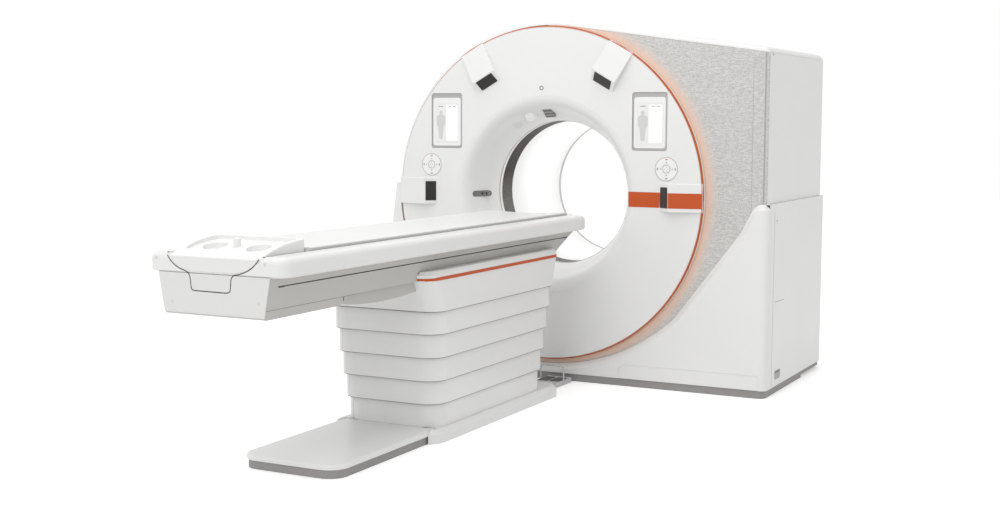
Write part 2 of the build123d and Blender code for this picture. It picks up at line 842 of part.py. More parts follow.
# Stator: upright casting that carries the main bearing, on two feet along the base
with BuildPart() as stator_frame:
    with BuildSketch(upright(along(stator_front))):
        with BuildLine():
            foot_half = stator_foot_x + stator_foot[0] / 2
            Polyline((-foot_half, base_height), (foot_half, base_height), (stator_r - 20, tunnel_height),
                     (-stator_r + 20, tunnel_height), (-foot_half, base_height))
        make_face()
        with Locations((0, tunnel_height)):
            Circle(stator_r)
            Circle(outer_race_r, mode=Mode.SUBTRACT)
    extrude(amount=-stator_thick)
    for sign in (-1, 1):
        with Locations((sign * stator_foot_x, along(stator_front + stator_thick / 2), base_height)):
            Box(*stator_foot, align=(Align.CENTER, Align.CENTER, Align.MIN))
save(stator_frame.part, "stator_frame")


def sleeve(inner, outer, depth, width):
    """Ring about the tunnel's axis that starts this far behind the front face."""
    with BuildPart() as ring:
        with BuildSketch(upright(along(depth))):
            with Locations((0, tunnel_height)):
                Circle(outer)
                Circle(inner, mode=Mode.SUBTRACT)
        extrude(amount=-width)
    return ring.part


save(sleeve(inner_race_r + running_gap, outer_race_r, stator_front, race_width - 5), "bearing_outer_race")
save(sleeve(hub_r, inner_race_r, rotor_plate_y + rotor_skin, race_width), "bearing_inner_race")
save(sleeve(hub_r + drive_gap, outer_race_r, drive_front, drive_width), "drive_stator")
save(sleeve(hub_r, slip_ring_r, slip_ring_front, slip_ring_width), "slip_ring")

with BuildPart() as brush_block:
    with BuildSketch(radial_plane(brush_angle, 0, slip_ring_front + 5)):
        with Locations((0, (slip_ring_r + brush_gap + stator_r) / 2)):
            Rectangle(brush_size[0], stator_r - slip_ring_r - brush_gap - 8)
    extrude(amount=-brush_size[1])
    with BuildSketch(upright(along(stator_front))):
        with Locations((0, tunnel_height)):
            Circle(slip_ring_r + brush_gap)
    extrude(amount=-far, mode=Mode.SUBTRACT)
    with BuildSketch(upright(along(stator_front))):
        with Locations((0, tunnel_height)):
            Circle(stator_r + 50)
            Circle(outer_race_r - 0.5, mode=Mode.SUBTRACT)
    extrude(amount=-stator_thick, mode=Mode.SUBTRACT)
save(brush_block.part.solids().sort_by(SortBy.VOLUME)[-1], "brush_block")

# Rotor drum: rim, mounting plate and hub in one casting, turning about the tunnel's axis
with BuildPart() as rotor_drum:
    with BuildSketch(upright(along(rotor_plate_y))):
        with Locations((0, tunnel_height)):
            Circle(rotor_r)
            Circle(rotor_inner_r, mode=Mode.SUBTRACT)
    extrude(amount=-rotor_skin)
    with BuildSketch(upright(along(rotor_front))):
        with Locations((0, tunnel_height)):
            Circle(rotor_r)
            Circle(rotor_r - rotor_skin, mode=Mode.SUBTRACT)
    extrude(amount=-(rotor_plate_y - rotor_front + 1))
    with BuildSketch(upright(along(rotor_plate_y))):
        with Locations((0, tunnel_height)):
            Circle(hub_r)
            Circle(hub_r - hub_wall, mode=Mode.SUBTRACT)
    extrude(amount=-hub_length - rotor_skin)
save(rotor_drum.part, "rotor_drum")

# Units in the rotor, in front of its plate: tube at the top, detector opposite, generator and cooler
plate_front = along(rotor_plate_y)
with BuildPart() as xray_tube:
    with BuildSketch(upright(plate_front - tube_length)):
        with Locations((0, tunnel_height + tube_radius)):
            Circle(tube_r)
    extrude(amount=-tube_length)
    with Locations((0, plate_front - tube_length / 2, tunnel_height + tube_radius - tube_r)):
        Box(tube_r * 1.3, tube_length * 0.5, 60)
save(xray_tube.part, "xray_tube")

with BuildPart() as detector_arc:
    with BuildSketch(upright(plate_front - detector_width)):
        with BuildLine():
            a0 = tube_angle + 180 - detector_span / 2
            inner = CenterArc((0, tunnel_height), detector_inner_r, a0, detector_span)
            outer = CenterArc((0, tunnel_height), detector_outer_r, a0, detector_span)
            Line(inner @ 0, outer @ 0)
            Line(inner @ 1, outer @ 1)
        make_face()
    extrude(amount=-detector_width)
save(detector_arc.part, "detector_arc")

for name, size, angle in (("hv_generator", generator_size, 20), ("tube_cooler", cooler_size, 160)):
    with BuildPart() as unit:
        with BuildSketch(radial_plane(angle, bay_radius, rotor_plate_y - size[2])):
            RectangleRounded(size[1], size[0], unit_corner_r)
        extrude(amount=-size[2])
    save(unit.part, name)


def box_face(box, corner_r, inset=0):
    """Face of a plan outline given as (half width, front y, rear y), with round corners."""
    half, y0, y1 = box
    with BuildSketch() as face:
        with Locations((0, front_y + (y0 + y1) / 2)):
            RectangleRounded(2 * (half - inset), y1 - y0 - 2 * inset, corner_r - inset)
    return face.sketch


# Table base: steel plate under the foot plate and the pedestal, with four anchor holes
with BuildPart() as table_base:
    with BuildSketch():
        add(box_face(foot_box, foot_corner_r))
    extrude(amount=foot_base_height)
    with BuildSketch():
        add(box_face(last_stage_box, stage_corner_r, skirt_lap + base_gap))
    extrude(amount=foot_base_height)
    with Locations((0, front_y + table_anchor_y, foot_base_height)):
        with GridLocations(*table_anchor_spacing, 2, 2):
            Hole(anchor_hole_r)
save(table_base.part, "table_base")

# Foot plate: low cover with a rounded upper edge, up to the pedestal
plate_box = (foot_box[0] + foot_overhang, foot_box[1] - foot_overhang, foot_box[2] + 2 * foot_corner_r)
plate_end = last_stage_box[1] - seam
with BuildPart() as foot_plate:
    with BuildSketch(Plane.XY.offset(foot_base_height)):
        add(box_face(plate_box, foot_corner_r + foot_overhang))
    extrude(amount=plinth_top - foot_base_height)
    fillet(foot_plate.faces().sort_by(Axis.Z)[-1].edges(), foot_edge_r)
    with Locations((0, front_y + plate_end, 0)):
        Box(2 * far, far, 2 * far, align=(Align.CENTER, Align.MIN, Align.CENTER), mode=Mode.SUBTRACT)
save(foot_plate.part, "foot_plate")

# Skirt that the lowest pedestal cover stands on, open where the foot plate runs in
with BuildPart() as pedestal_skirt:
    with BuildSketch():
        add(box_face(skirt_box, stage_corner_r))
    extrude(amount=plinth_top)
    chamfer(pedestal_skirt.faces().sort_by(Axis.Z)[-1].edges(), skirt_bevel)
    with BuildSketch():
        add(box_face(last_stage_box, stage_corner_r, skirt_lap))
    extrude(amount=far, mode=Mode.SUBTRACT)
    with Locations((0, front_y + skirt_box[1], 0)):
        Box(2 * (plate_box[0] + seam), 2 * stage_corner_r, 2 * far, mode=Mode.SUBTRACT)
save(pedestal_skirt.part, "pedestal_skirt")


def column_stage(index, bottom, length=column_length):
    """One tube of the lifting column; each tube fits inside the one below it with a sliding gap."""
    w = column_size[0] - 2 * index * column_step
    d = column_size[1] - 2 * index * column_step
    with BuildPart() as tube:
        with BuildSketch(Plane.XY.offset(bottom)):
            with Locations((0, pedestal_centre)):
                RectangleRounded(w, d, column_corner_r)
                RectangleRounded(w - 2 * column_wall, d - 2 * column_wall, column_corner_r - column_wall,
                                 mode=Mode.SUBTRACT)
        extrude(amount=length)
        if index:
            pad = column_step - column_wall - guide_gap
            with BuildSketch(Plane.XY.offset(bottom)):
                for sign in (-1, 1):
                    with Locations((sign * (w + pad) / 2, pedestal_centre)):
                        Rectangle(pad, column_pad_size[0])
                    with Locations((0, pedestal_centre + sign * (d + pad) / 2)):
                        Rectangle(column_pad_size[0], pad)
            extrude(amount=column_pad_size[1])
    return tube.part


column_bottom = foot_base_height + 0.5
save(column_stage(0, column_bottom), "lift_column_base")
save(column_stage(1, column_bottom + column_travel), "lift_column_middle")
with BuildPart() as lift_column_top:
    add(column_stage(2, column_bottom + 2 * column_travel, column_length + column_stop))
    top_of_column = column_bottom + 2 * column_travel + column_length + column_stop
    with BuildSketch(Plane.XY.offset(top_of_column)):
        with Locations((0, pedestal_centre)):
            Rectangle(*column_size)
    extrude(amount=frame_bottom - 0.3 - top_of_column)
save(lift_column_top.part, "lift_column_top")

# Pedestal covers: nested rounded tubes, the top one widest, with guide pads near their upper edge
for number in range(1, stage_count + 1):
    inset_x = stage_step[0] * (number - 1)
    inset_y = stage_step[1] * (number - 1)
    box = (stage_box[0] - inset_x, stage_box[1] + inset_y, stage_box[2] - inset_y)
    bottom = stage_bottoms[stage_count - number]
    outside = stage_step[0] - stage_wall if number > 1 else head_bottom_box[0] - head_wall - stage_box[0]
    pad = outside - guide_gap
    with BuildPart() as pedestal_cover:
        with BuildSketch(Plane.XY.offset(bottom)):
            add(box_face(box, stage_corner_r))
            add(box_face(box, stage_corner_r, stage_wall), mode=Mode.SUBTRACT)
        extrude(amount=stage_height)
        with BuildSketch(Plane.XY.offset(bottom + stage_height - guide_size[1] - guide_top_gap)):
            with Locations((0, pedestal_centre)):
                with GridLocations(2 * box[0] + pad, 2 * guide_spread, 2, 2):
                    Rectangle(pad, guide_size[0])
        extrude(amount=guide_size[1])
    save(pedestal_cover.part, f"pedestal_cover_{number}")


def frame_section(inset=0, bottom=frame_bottom):
    """Cross-section of the table frame: sides that lean in towards the bottom."""
    lean = (frame_top_x - frame_bottom_x) / (frame_top - frame_bottom)
    low_x = frame_bottom_x - (frame_bottom - bottom) * lean - inset
    with BuildSketch() as section:
        with BuildLine():
            Polyline((-frame_top_x + inset, frame_top), (frame_top_x - inset, frame_top),
                     (low_x, bottom), (-low_x, bottom), (-frame_top_x + inset, frame_top))
        make_face()
    return section.sketch


def frame_block(grow=0):
    """Solid outline of the table frame: deep belly at the foot end, slanted end at the gantry."""
    deep = frame_bottom - belly_drop
    y0 = front_y + table_end + grow
    with BuildPart() as block:
        with BuildSketch(upright(y0)):
            add(frame_section(-grow, deep))
        extrude(amount=y0 - (front_y + frame_start))
        with BuildSketch(Plane.YZ):
            with BuildLine():
                FilletPolyline(
                    (y0, frame_top), (y0, deep), (front_y + belly_end - belly_run, deep),
                    (front_y + belly_end, frame_bottom), (front_y + frame_start - frame_taper, frame_bottom),
                    (front_y + frame_start, frame_top),
                    radius=frame_end_r,
                )
                Line((front_y + frame_start, frame_top), (y0, frame_top))
            make_face()
        extrude(amount=far, both=True, mode=Mode.INTERSECT)
    return block.part


def neck_block(grow=0):
    """Solid of the neck that joins the frame to the pedestal's head: a shallow arched belly."""
    y0 = front_y + neck_end - grow
    y1 = front_y + neck_start + grow
    low = frame_bottom - neck_drop - grow
    end = frame_bottom - neck_end_drop - grow
    top = frame_bottom + frame_wall / 2
    with BuildPart() as block:
        with BuildSketch(Plane.YZ):
            with BuildLine():
                ThreePointArc((y0 + neck_run, end), ((y0 + neck_run + y1) / 2, low), (y1, end))
                Polyline((y1, end), (y1, top), (y0, top), (y0 + neck_run, end))
            make_face()
        extrude(amount=neck_x + grow, both=True)
    return block.part


# Table frame: long channel with a groove along each side and the neck that joins the head
with BuildPart() as table_frame:
    add(frame_block())
    with BuildSketch(upright(front_y + table_end + 3 * frame_wall)):
        add(frame_section(frame_wall, frame_bottom + frame_wall))
    extrude(amount=-(frame_start - frame_taper - table_end - 5 * frame_wall), mode=Mode.SUBTRACT)
    with Locations((0, front_y + (table_end + 60 + frame_start - 110) / 2, groove_height)):
        for sign in (-1, 1):
            with Locations((sign * (frame_top_x - 6), 0, 0)):
                Box(2 * groove_size[1], frame_start - table_end - 200, groove_size[0], mode=Mode.SUBTRACT)
    add(neck_block())
save(table_frame.part, "table_frame")


def head_block(grow=0):
    """Solid outline of the pedestal's head: a box that widens upwards."""
    with BuildPart() as block:
        with BuildSketch(Plane.XY.offset(head_bottom)):
            add(box_face(head_bottom_box, head_corner_r, -grow))
        with BuildSketch(Plane.XY.offset(head_top)):
            add(box_face(head_top_box, head_corner_r, -grow))
        loft()
    return block.part


with BuildPart() as head_cover:
    add(head_block())
    chamfer(head_cover.faces().sort_by(Axis.Z)[-1].edges(), 18)
    add(head_block(-head_wall) & keep_zone([(-far, 0), (far, 0), (far, head_top - 22), (-far, head_top - 22)], -far, far),
        mode=Mode.SUBTRACT)
    with BuildSketch(Plane.XY.offset(head_bottom - 1)):
        add(box_face(head_bottom_box, head_corner_r, head_wall))
    extrude(amount=5, mode=Mode.SUBTRACT)
    with BuildSketch(upright(-far)):
        add(frame_section(-seam))
        with Locations((0, head_top)):
            Rectangle(2 * (frame_bottom_x + 12), 20)
    extrude(amount=-2 * far, mode=Mode.SUBTRACT)
    add(neck_block(seam), mode=Mode.SUBTRACT)
save(head_cover.part.solids().sort_by(SortBy.VOLUME)[-1], "head_cover")

with BuildPart() as accent_strip:
    add(head_block(strip_thick + 0.3))
    add(head_block(0.3), mode=Mode.SUBTRACT)
    add(keep_zone([(-far, strip_height), (far, strip_height), (far, strip_height + strip_width),
                   (-far, strip_height + strip_width)], front_y + head_top_box[1] + 8, far), mode=Mode.INTERSECT)
    with BuildSketch(upright(-far)):
        add(frame_section(-seam))
    extrude(amount=-2 * far, mode=Mode.SUBTRACT)
save(accent_strip.part, "accent_strip")


def cradle_outline(grow=0, top=table_top_z):
    """Points of the cradle's flanks and floor, from the top right corner round to the top left."""
    right = [(cradle_x + grow, top)] + [(x + grow, height - grow) for x, height in cradle_flank]
    return right + [(-x, height) for x, height in reversed(right)]


# Table top: wide rim with the trough in which the cradle slides
with BuildPart() as table_top:
    y0 = front_y + table_end
    with BuildSketch(Plane.XY.offset(frame_top + 0.3)):
        with Locations((0, front_y + (table_end + top_start) / 2)):
            RectangleRounded(2 * top_x, top_start - table_end, top_end_r)
    extrude(amount=top_thick - 0.3)
    fillet(table_top.faces().sort_by(Axis.Z)[-1].edges(), top_edge_r)
    chamfer(table_top.faces().sort_by(Axis.Z)[0].edges(), 6)
    with BuildSketch(upright(-2 * far)):
        with BuildLine():
            points = cradle_outline(cradle_gap, table_top_z + 10)
            Polyline(*points, points[0])
        make_face()
    extrude(amount=-4 * far, mode=Mode.SUBTRACT)
save(table_top.part, "table_top")

# Cradle: the sliding patient support, with a dished top
with BuildPart() as cradle:
    with BuildSketch(upright(front_y + table_end)):
        edge_z = table_top_z + cradle_rise
        with BuildLine():
            points = cradle_outline(0, edge_z)
            Polyline(*points)
            ThreePointArc(points[-1], (0, edge_z - cradle_dish), points[0])
        make_face()
    extrude(amount=table_end - cradle_start)
    upper = cradle.edges().filter_by(Axis.Y).group_by(Axis.Z)[-1]
    fillet(upper, 4)
    with Locations((0, front_y + table_end, table_top_z - tray_sink)):
        Box(2 * far, 2 * (tray_depth + seam), far, align=(Align.CENTER, Align.CENTER, Align.MIN), mode=Mode.SUBTRACT)
save(cradle.part, "cradle")

def brow_arc(drop=0):
    """Curve of the tray's top from its low front edge to its rear, or one that lies lower by drop."""
    y0 = front_y + table_end
    heights = [table_top_z + rise - drop for rise in tray_brow]
    return ThreePointArc((y0, heights[0]), (y0 + 0.35 * tray_depth, heights[1]), (y0 + tray_depth, heights[2]))


# Tray at the foot end of the cradle: a wedge with a recessed field, two round dishes and a knob between them
tray_y = front_y + table_end + tray_depth / 2
tray_seat = table_top_z - tray_sink + seat_gap
with BuildPart() as tray_field:
    with BuildSketch(Plane.XY.offset(tray_seat)):
        with Locations((0, tray_y + (tray_front_rim - tray_rim) / 2)):
            RectangleRounded(2 * (tray_x - tray_rim), tray_depth - tray_rim - tray_front_rim, tray_corner_r)
    extrude(amount=far)
    with BuildSketch(Plane.YZ):
        with BuildLine():
            field = brow_arc(tray_dip)
            Polyline(field @ 1, ((field @ 1).X, 0), ((field @ 0).X, 0), field @ 0)
        make_face()
    extrude(amount=far, both=True, mode=Mode.SUBTRACT)
    dish_y = front_y + table_end + knob_from_end
    dish_z = table_top_z + tray_brow[1] - tray_dip - dish_sink
    with BuildSketch(Plane.XY.offset(dish_z)):
        with Locations((-dish_x, dish_y), (dish_x, dish_y)):
            Circle(dish_r)
    extrude(amount=2 * tray_dip)

with BuildPart() as head_tray:
    with BuildSketch(Plane.YZ):
        with BuildLine():
            brow = brow_arc()
            Polyline(brow @ 1, ((brow @ 1).X, tray_seat), ((brow @ 0).X, tray_seat), brow @ 0)
        make_face()
    extrude(amount=tray_x, both=True)
    fillet(head_tray.edges().filter_by(Axis.Z).group_by(Axis.Y)[-1], tray_corner_r)
    fillet(head_tray.edges().group_by(Axis.Z)[-1], tray_rim / 4)
    add(tray_field.part, mode=Mode.SUBTRACT)
    with BuildSketch(Plane.XY.offset(tray_seat + tray_sink)):
        with Locations((0, dish_y)):
            Circle(knob_r)
    extrude(amount=table_top_z + knob_rise - tray_seat - tray_sink)
    fillet(head_tray.faces().sort_by(Axis.Z)[-1].edges(), knob_r / 3)
save(head_tray.part.solids().sort_by(SortBy.VOLUME)[-1], "head_tray")

# Foot switch: housing with a guard bar, held to the gantry's base by a tongue at its rear
x0, x1, y0, y1 = switch_box
switch_centre = ((x0 + x1) / 2, front_y + (y0 + y1) / 2)
pedal_offset = switch_web / 2 + pedal_side_gap + pedal_size[0] / 2
pin_y = switch_centre[1] + pedal_size[1] / 2 - pin_inset
pin_z = switch_height + pedal_rise - pedal_size[2] + pin_r
with BuildPart() as foot_switch:
    with BuildSketch():
        with Locations(switch_centre):
            RectangleRounded(x1 - x0, y1 - y0, switch_corner_r)
    extrude(amount=switch_height)
    chamfer(foot_switch.faces().sort_by(Axis.Z)[-1].edges(), switch_bevel)
    for sign in (-1, 1):
        with Locations((switch_centre[0] + sign * pedal_offset, switch_centre[1], switch_floor)):
            Box(pedal_size[0] + 2 * pedal_side_gap, pedal_size[1] + 2 * pedal_side_gap, far,
                align=(Align.CENTER, Align.CENTER, Align.MIN), mode=Mode.SUBTRACT)
        with Locations(Location((switch_centre[0] + sign * pedal_offset, pin_y, pin_z), (0, 90, 0))):
            Cylinder(pin_r + running_gap, pedal_size[0] + 2 * pin_reach + 1, mode=Mode.SUBTRACT)
    with BuildLine(upright(front_y + guard_y)) as guard:
        FilletPolyline((x0 + guard_inset, switch_floor - 4), (x0 + guard_inset, guard_height),
                       (x1 - guard_inset, guard_height), (x1 - guard_inset, switch_floor - 4), radius=guard_bend_r)
    with BuildSketch(Plane(origin=(x0 + guard_inset, front_y + guard_y, switch_floor - 4), z_dir=(0, 0, 1))):
        Circle(guard_bar_r)
    sweep(path=guard.wires()[0])
    tongue_end = along(base_inset) - seat_gap
    with Locations((switch_centre[0], front_y + y1 - 2, 0)):
        Box(tongue_size[0], tongue_end - (front_y + y1 - 2), tongue_size[1],
            align=(Align.CENTER, Align.MIN, Align.MIN))
save(foot_switch.part, "foot_switch")

# Pedals: treads that turn on a pin near their rear end
for name, sign in (("pedal_left", -1), ("pedal_right", 1)):
    with BuildPart() as pedal:
        with BuildSketch(Plane.XY.offset(switch_height + pedal_rise - pedal_size[2])):
            with Locations((switch_centre[0] + sign * pedal_offset, switch_centre[1])):
                RectangleRounded(pedal_size[0], pedal_size[1], 6)
        extrude(amount=pedal_size[2])
        chamfer(pedal.faces().sort_by(Axis.Z)[-1].edges(), 1.5)
        with Locations(Location((switch_centre[0] + sign * pedal_offset, pin_y, pin_z), (0, 90, 0))):
            Cylinder(pin_r, pedal_size[0] + 2 * pin_reach)
    save(pedal.part, name)
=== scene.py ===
"""Looks of the computed-tomography scanner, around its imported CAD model.

Metres, Z up, floor at z = 0; the tunnel runs along +Y and its axis is 1.05 m above the floor.
"""

import json
import math

import bmesh
import bpy
import numpy as np
from mathutils import Matrix, Vector
from mathutils.bvhtree import BVHTree

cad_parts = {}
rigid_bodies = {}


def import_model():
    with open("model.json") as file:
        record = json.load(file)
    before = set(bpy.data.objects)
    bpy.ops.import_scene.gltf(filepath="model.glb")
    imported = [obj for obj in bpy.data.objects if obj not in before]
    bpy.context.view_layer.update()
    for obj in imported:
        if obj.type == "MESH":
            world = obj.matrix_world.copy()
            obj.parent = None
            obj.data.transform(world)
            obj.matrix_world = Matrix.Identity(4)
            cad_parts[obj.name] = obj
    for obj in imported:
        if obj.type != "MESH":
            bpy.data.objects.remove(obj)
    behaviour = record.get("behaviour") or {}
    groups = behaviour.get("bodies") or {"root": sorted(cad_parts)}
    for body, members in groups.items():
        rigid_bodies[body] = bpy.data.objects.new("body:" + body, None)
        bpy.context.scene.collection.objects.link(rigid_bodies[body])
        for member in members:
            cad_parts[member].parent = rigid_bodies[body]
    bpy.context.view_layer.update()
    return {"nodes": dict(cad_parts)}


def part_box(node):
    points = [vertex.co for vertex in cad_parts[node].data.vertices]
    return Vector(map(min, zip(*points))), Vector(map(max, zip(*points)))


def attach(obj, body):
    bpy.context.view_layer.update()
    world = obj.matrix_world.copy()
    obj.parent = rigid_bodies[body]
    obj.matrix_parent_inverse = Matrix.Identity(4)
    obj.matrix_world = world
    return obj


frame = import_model()
nodes = frame["nodes"]

# Places of the CAD model that the pieces here follow, in metres
AXIS_Z = 1.05
FRONT_Y = -0.353
RING_R = 0.936
TUNNEL_R = 0.4096
TABLE_END_Y = FRONT_Y - 2.915
# Where the rays that look for a surface start, outside the part
OUTSIDE = 1.6
# How far joint lines and prints stand proud of their surface
JOINT_RISE = 0.0004
PRINT_RISE = 0.0003


# Colours and materials

def linear(hex_colour, alpha=1.0):
    """An sRGB hex value as a linear colour with alpha."""
    parts = [int(hex_colour[i:i + 2], 16) / 255 for i in (1, 3, 5)]
    return tuple(c / 12.92 if c <= 0.04045 else ((c + 0.055) / 1.055) ** 2.4 for c in parts) + (alpha,)


def add_node(tree, kind, settings=None, **links):
    """Add a shader node, set its attributes, and set or link its inputs.

    An input goes by its name, with underscores for spaces, or by i and its number.
    """
    made = tree.nodes.new(kind)
    for name, value in (settings or {}).items():
        setattr(made, name, value)
    for name, value in links.items():
        numbered = name[0] == "i" and name[1:].isdigit()
        socket = made.inputs[int(name[1:]) if numbered else name.replace("_", " ")]
        if isinstance(value, bpy.types.NodeSocket):
            tree.links.new(value, socket)
        else:
            socket.default_value = value
    return made


def new_material(name):
    """A material with an empty tree but for its Principled shader, and its Object coordinates."""
    material = bpy.data.materials.new(name)
    material.use_nodes = True
    tree = material.node_tree
    shader = tree.nodes["Principled BSDF"]
    coords = tree.nodes.new("ShaderNodeTexCoord").outputs["Object"]
    return material, tree, shader, coords


def mottle(tree, coords, size_mm, detail=3.0):
    """Soft noise whose patches are about size_mm across."""
    noise = add_node(tree, "ShaderNodeTexNoise", Vector=coords, Scale=1000.0 / size_mm, Detail=detail)
    return noise.outputs["Fac"]


def between(tree, factor, low, high):
    """Map a 0 to 1 value to between two numbers."""
    return add_node(tree, "ShaderNodeMapRange", Value=factor, To_Min=low, To_Max=high).outputs["Result"]


def mix_colours(tree, factor, first, second):
    """Mix two colours, each a hex value or a socket."""
    mixer = tree.nodes.new("ShaderNodeMix")
    mixer.data_type = "RGBA"
    if isinstance(factor, bpy.types.NodeSocket):
        tree.links.new(factor, mixer.inputs[0])
    else:
        mixer.inputs[0].default_value = factor
    for socket, value in ((mixer.inputs[6], first), (mixer.inputs[7], second)):
        if isinstance(value, bpy.types.NodeSocket):
            tree.links.new(value, socket)
        else:
            socket.default_value = linear(value)
    return mixer.outputs[2]


def bump(tree, shader, height, depth_mm):
    """Relief of depth_mm from a 0 to 1 height."""
    relief = add_node(tree, "ShaderNodeBump", Height=height, Distance=depth_mm / 1000.0, Strength=1.0)
    tree.links.new(relief.outputs["Normal"], shader.inputs["Normal"])


def moulded(name, shade, dark_shade, roughness, grain_mm, grain_depth_mm, coat=0.0, metallic=0.0):
    """A moulded or painted surface: broad faint mottling, fine orange peel, uneven gloss."""
    material, tree, shader, coords = new_material(name)
    broad = mottle(tree, coords, 420)
    peel = mottle(tree, coords, grain_mm, 2.0)
    tree.links.new(mix_colours(tree, broad, shade, dark_shade), shader.inputs["Base Color"])
    tree.links.new(between(tree, broad, roughness - 0.03, roughness + 0.05), shader.inputs["Roughness"])
    shader.inputs["Coat Weight"].default_value = coat
    shader.inputs["Coat Roughness"].default_value = 0.12
    shader.inputs["Metallic"].default_value = metallic
    bump(tree, shader, peel, grain_depth_mm)
    return material


def repaint_front(material, limit_y, front_shade):
    """Give a moulded material another shade where it lies in front of limit_y."""
    tree = material.node_tree
    shader = tree.nodes["Principled BSDF"]
    own_shade = shader.inputs["Base Color"].links[0].from_socket
    place = add_node(tree, "ShaderNodeSeparateXYZ", Vector=tree.nodes["Texture Coordinate"].outputs["Object"])
    in_front = add_node(tree, "ShaderNodeMath", {"operation": "LESS_THAN"}, i0=place.outputs["Y"], i1=limit_y)
    tree.links.new(mix_colours(tree, in_front.outputs["Value"], own_shade, front_shade), shader.inputs["Base Color"])


# Reaction-moulded polyurethane covers, sprayed with a satin two-pack paint: faint orange peel
cover_paint = moulded("painted_polyurethane_cover", "#E6E6E5", "#E2E2E1", 0.36, 9, 0.03, 0.15)
# The same paint on the table, a little glossier
table_paint = moulded("painted_abs_table_cover", "#E4E4E2", "#DFDFDD", 0.32, 9, 0.03, 0.2)
# Powder-coated steel sides of the table frame: pale warm grey, finer and flatter grain; the plate that closes
# its foot end is painted white like the table
frame_powder = moulded("powder_coated_table_steel", "#BEBCB9", "#B7B5B2", 0.5, 3, 0.05)
repaint_front(frame_powder, TABLE_END_Y + 0.003, "#D9D9D7")
# Powder-coated base plates at the floor: mid grey with a leather-like grain
base_powder = moulded("powder_coated_base_steel", "#9B9997", "#918F8D", 0.55, 3, 0.06)
# Satin orange film: screen-printed polycarbonate overlay
orange_film = moulded("orange_printed_polycarbonate", "#C04C06", "#BA4704", 0.5, 12, 0.015)
# Smoked acrylic windows: near black, satin
smoked_acrylic = moulded("smoked_acrylic_window", "#1C1817", "#171413", 0.3, 30, 0.004)
# Grey tinted acrylic of the status pill
pill_glass = moulded("grey_tinted_acrylic", "#787573", "#72706E", 0.2, 20, 0.004, 0.3)
# Glass-fibre and resin laminate of the cradle under clear coat
laminate = moulded("coated_glassfibre_cradle", "#E3E3E2", "#DDDDDC", 0.42, 14, 0.02)
# Vacuum-formed ABS tray: the palest part, soft gloss
tray_abs = moulded("vacuum_formed_abs_tray", "#EBEBEA", "#E6E6E5", 0.4, 12, 0.02)
# Moulded grey ABS of the keys, with a fine spark-eroded grain
key_abs = moulded("grain_moulded_grey_abs", "#C9CBCC", "#C2C4C5", 0.45, 2, 0.03)
# Pedal treads: grey nitrile rubber with a pebbled surface
pedal_rubber = moulded("grey_nitrile_rubber_tread", "#6A6A6A", "#5F5F5F", 0.7, 2.5, 0.15)
# Machined ring and column steel: ground, slightly oily
ground_steel = moulded("ground_bearing_steel", "#9A9B9D", "#8C8E91", 0.3, 2, 0.02, metallic=1.0)
# Sand-cast aluminium of rotor and stator: dull, grainy
cast_aluminium = moulded("sand_cast_aluminium", "#A7A9AB", "#97999C", 0.5, 4, 0.12, metallic=1.0)
# Enamelled copper of coils and tracks
enamelled_copper = moulded("enamelled_copper_winding", "#A2603A", "#8D5030", 0.35, 3, 0.06)
# Grey stove enamel on the units that turn with the rotor
unit_enamel = moulded("stove_enamelled_unit_housing", "#6F757B", "#666C72", 0.45, 4, 0.05)

# Frosted polycarbonate light ring over orange lamps: deep orange on its bevel, pale on its narrow front face
ring_glow = moulded("lit_frosted_polycarbonate", "#C05A28", "#B65424", 0.5, 8, 0.01)
repaint_front(ring_glow, FRONT_Y + 0.0005, "#CDBDB3")
# White ABS of the display housings and pads, and the opal acrylic of the camera's dome
white_abs = moulded("moulded_white_abs", "#EDEDEC", "#E8E8E7", 0.3, 5, 0.02, 0.2)
opal_dome = moulded("opal_acrylic_dome", "#F0F0EF", "#EAEAE9", 0.16, 30, 0.004, 0.4)
# Recess behind each display: grey that paints the shadow it always lies in
display_recess_shade = moulded("display_recess_painted_shade", "#B3B2B0", "#ABAAA8", 0.55, 3, 0.03)
# Joint gaps and gaskets: dull dark rubber deep in the joint
joint_rubber = moulded("dull_joint_rubber", "#4A4745", "#43403E", 0.8, 2, 0.05)
# Grey of the painted shadow lines under the sliding covers and near the top of the side pocket, and of the lower pan's
# joint
shadow_and_joint_grey = moulded("grey_painted_shadow_and_joint", "#8C8A88", "#848280", 0.7, 2, 0.04)
# Finer joints between covers, half filled with the paint's edge; the same grey is also painted shade
# at the rear rim of the tunnel and in the side's finger pocket
joint_and_shade_paint = moulded("joint_edge_and_painted_shade", "#B4B2B0", "#ABA9A7", 0.6, 3, 0.02)
# Screen-printed marks on the pads: mid grey and orange ink
grey_ink = moulded("grey_screen_print_ink", "#8F8E8D", "#868584", 0.5, 3, 0.005)
orange_ink = moulded("orange_screen_print_ink", "#D9783F", "#D07038", 0.5, 3, 0.005)
# Pale polyester end tab of the orange film
pale_tab = moulded("pale_polyester_film_tab", "#E9CDBD", "#E4C6B5", 0.4, 6, 0.01)
# Nickel-plated countersunk screws, painted over
screw_paint = moulded("painted_screw_head", "#D2D1CF", "#CAC9C7", 0.35, 2, 0.02)


def lit_panel(name, shade, strength):
    """A liquid-crystal panel showing a pale field, with the faint unevenness of its backlight."""
    material = moulded(name, shade, shade, 0.12, 40, 0.002, 0.4)
    tree = material.node_tree
    shader = tree.nodes["Principled BSDF"]
    glow = mottle(tree, tree.nodes["Texture Coordinate"].outputs["Object"], 90)
    tree.links.new(mix_colours(tree, glow, shade, "#F3F3F2"), shader.inputs["Emission Color"])
    shader.inputs["Emission Strength"].default_value = strength
    return material


panel_field = lit_panel("lit_display_background", "#DCDCDB", 0.10)
panel_sheet = lit_panel("lit_display_sheet", "#EFEFEF", 0.16)
panel_figure = lit_panel("lit_display_figure", "#C9C9C8", 0.04)

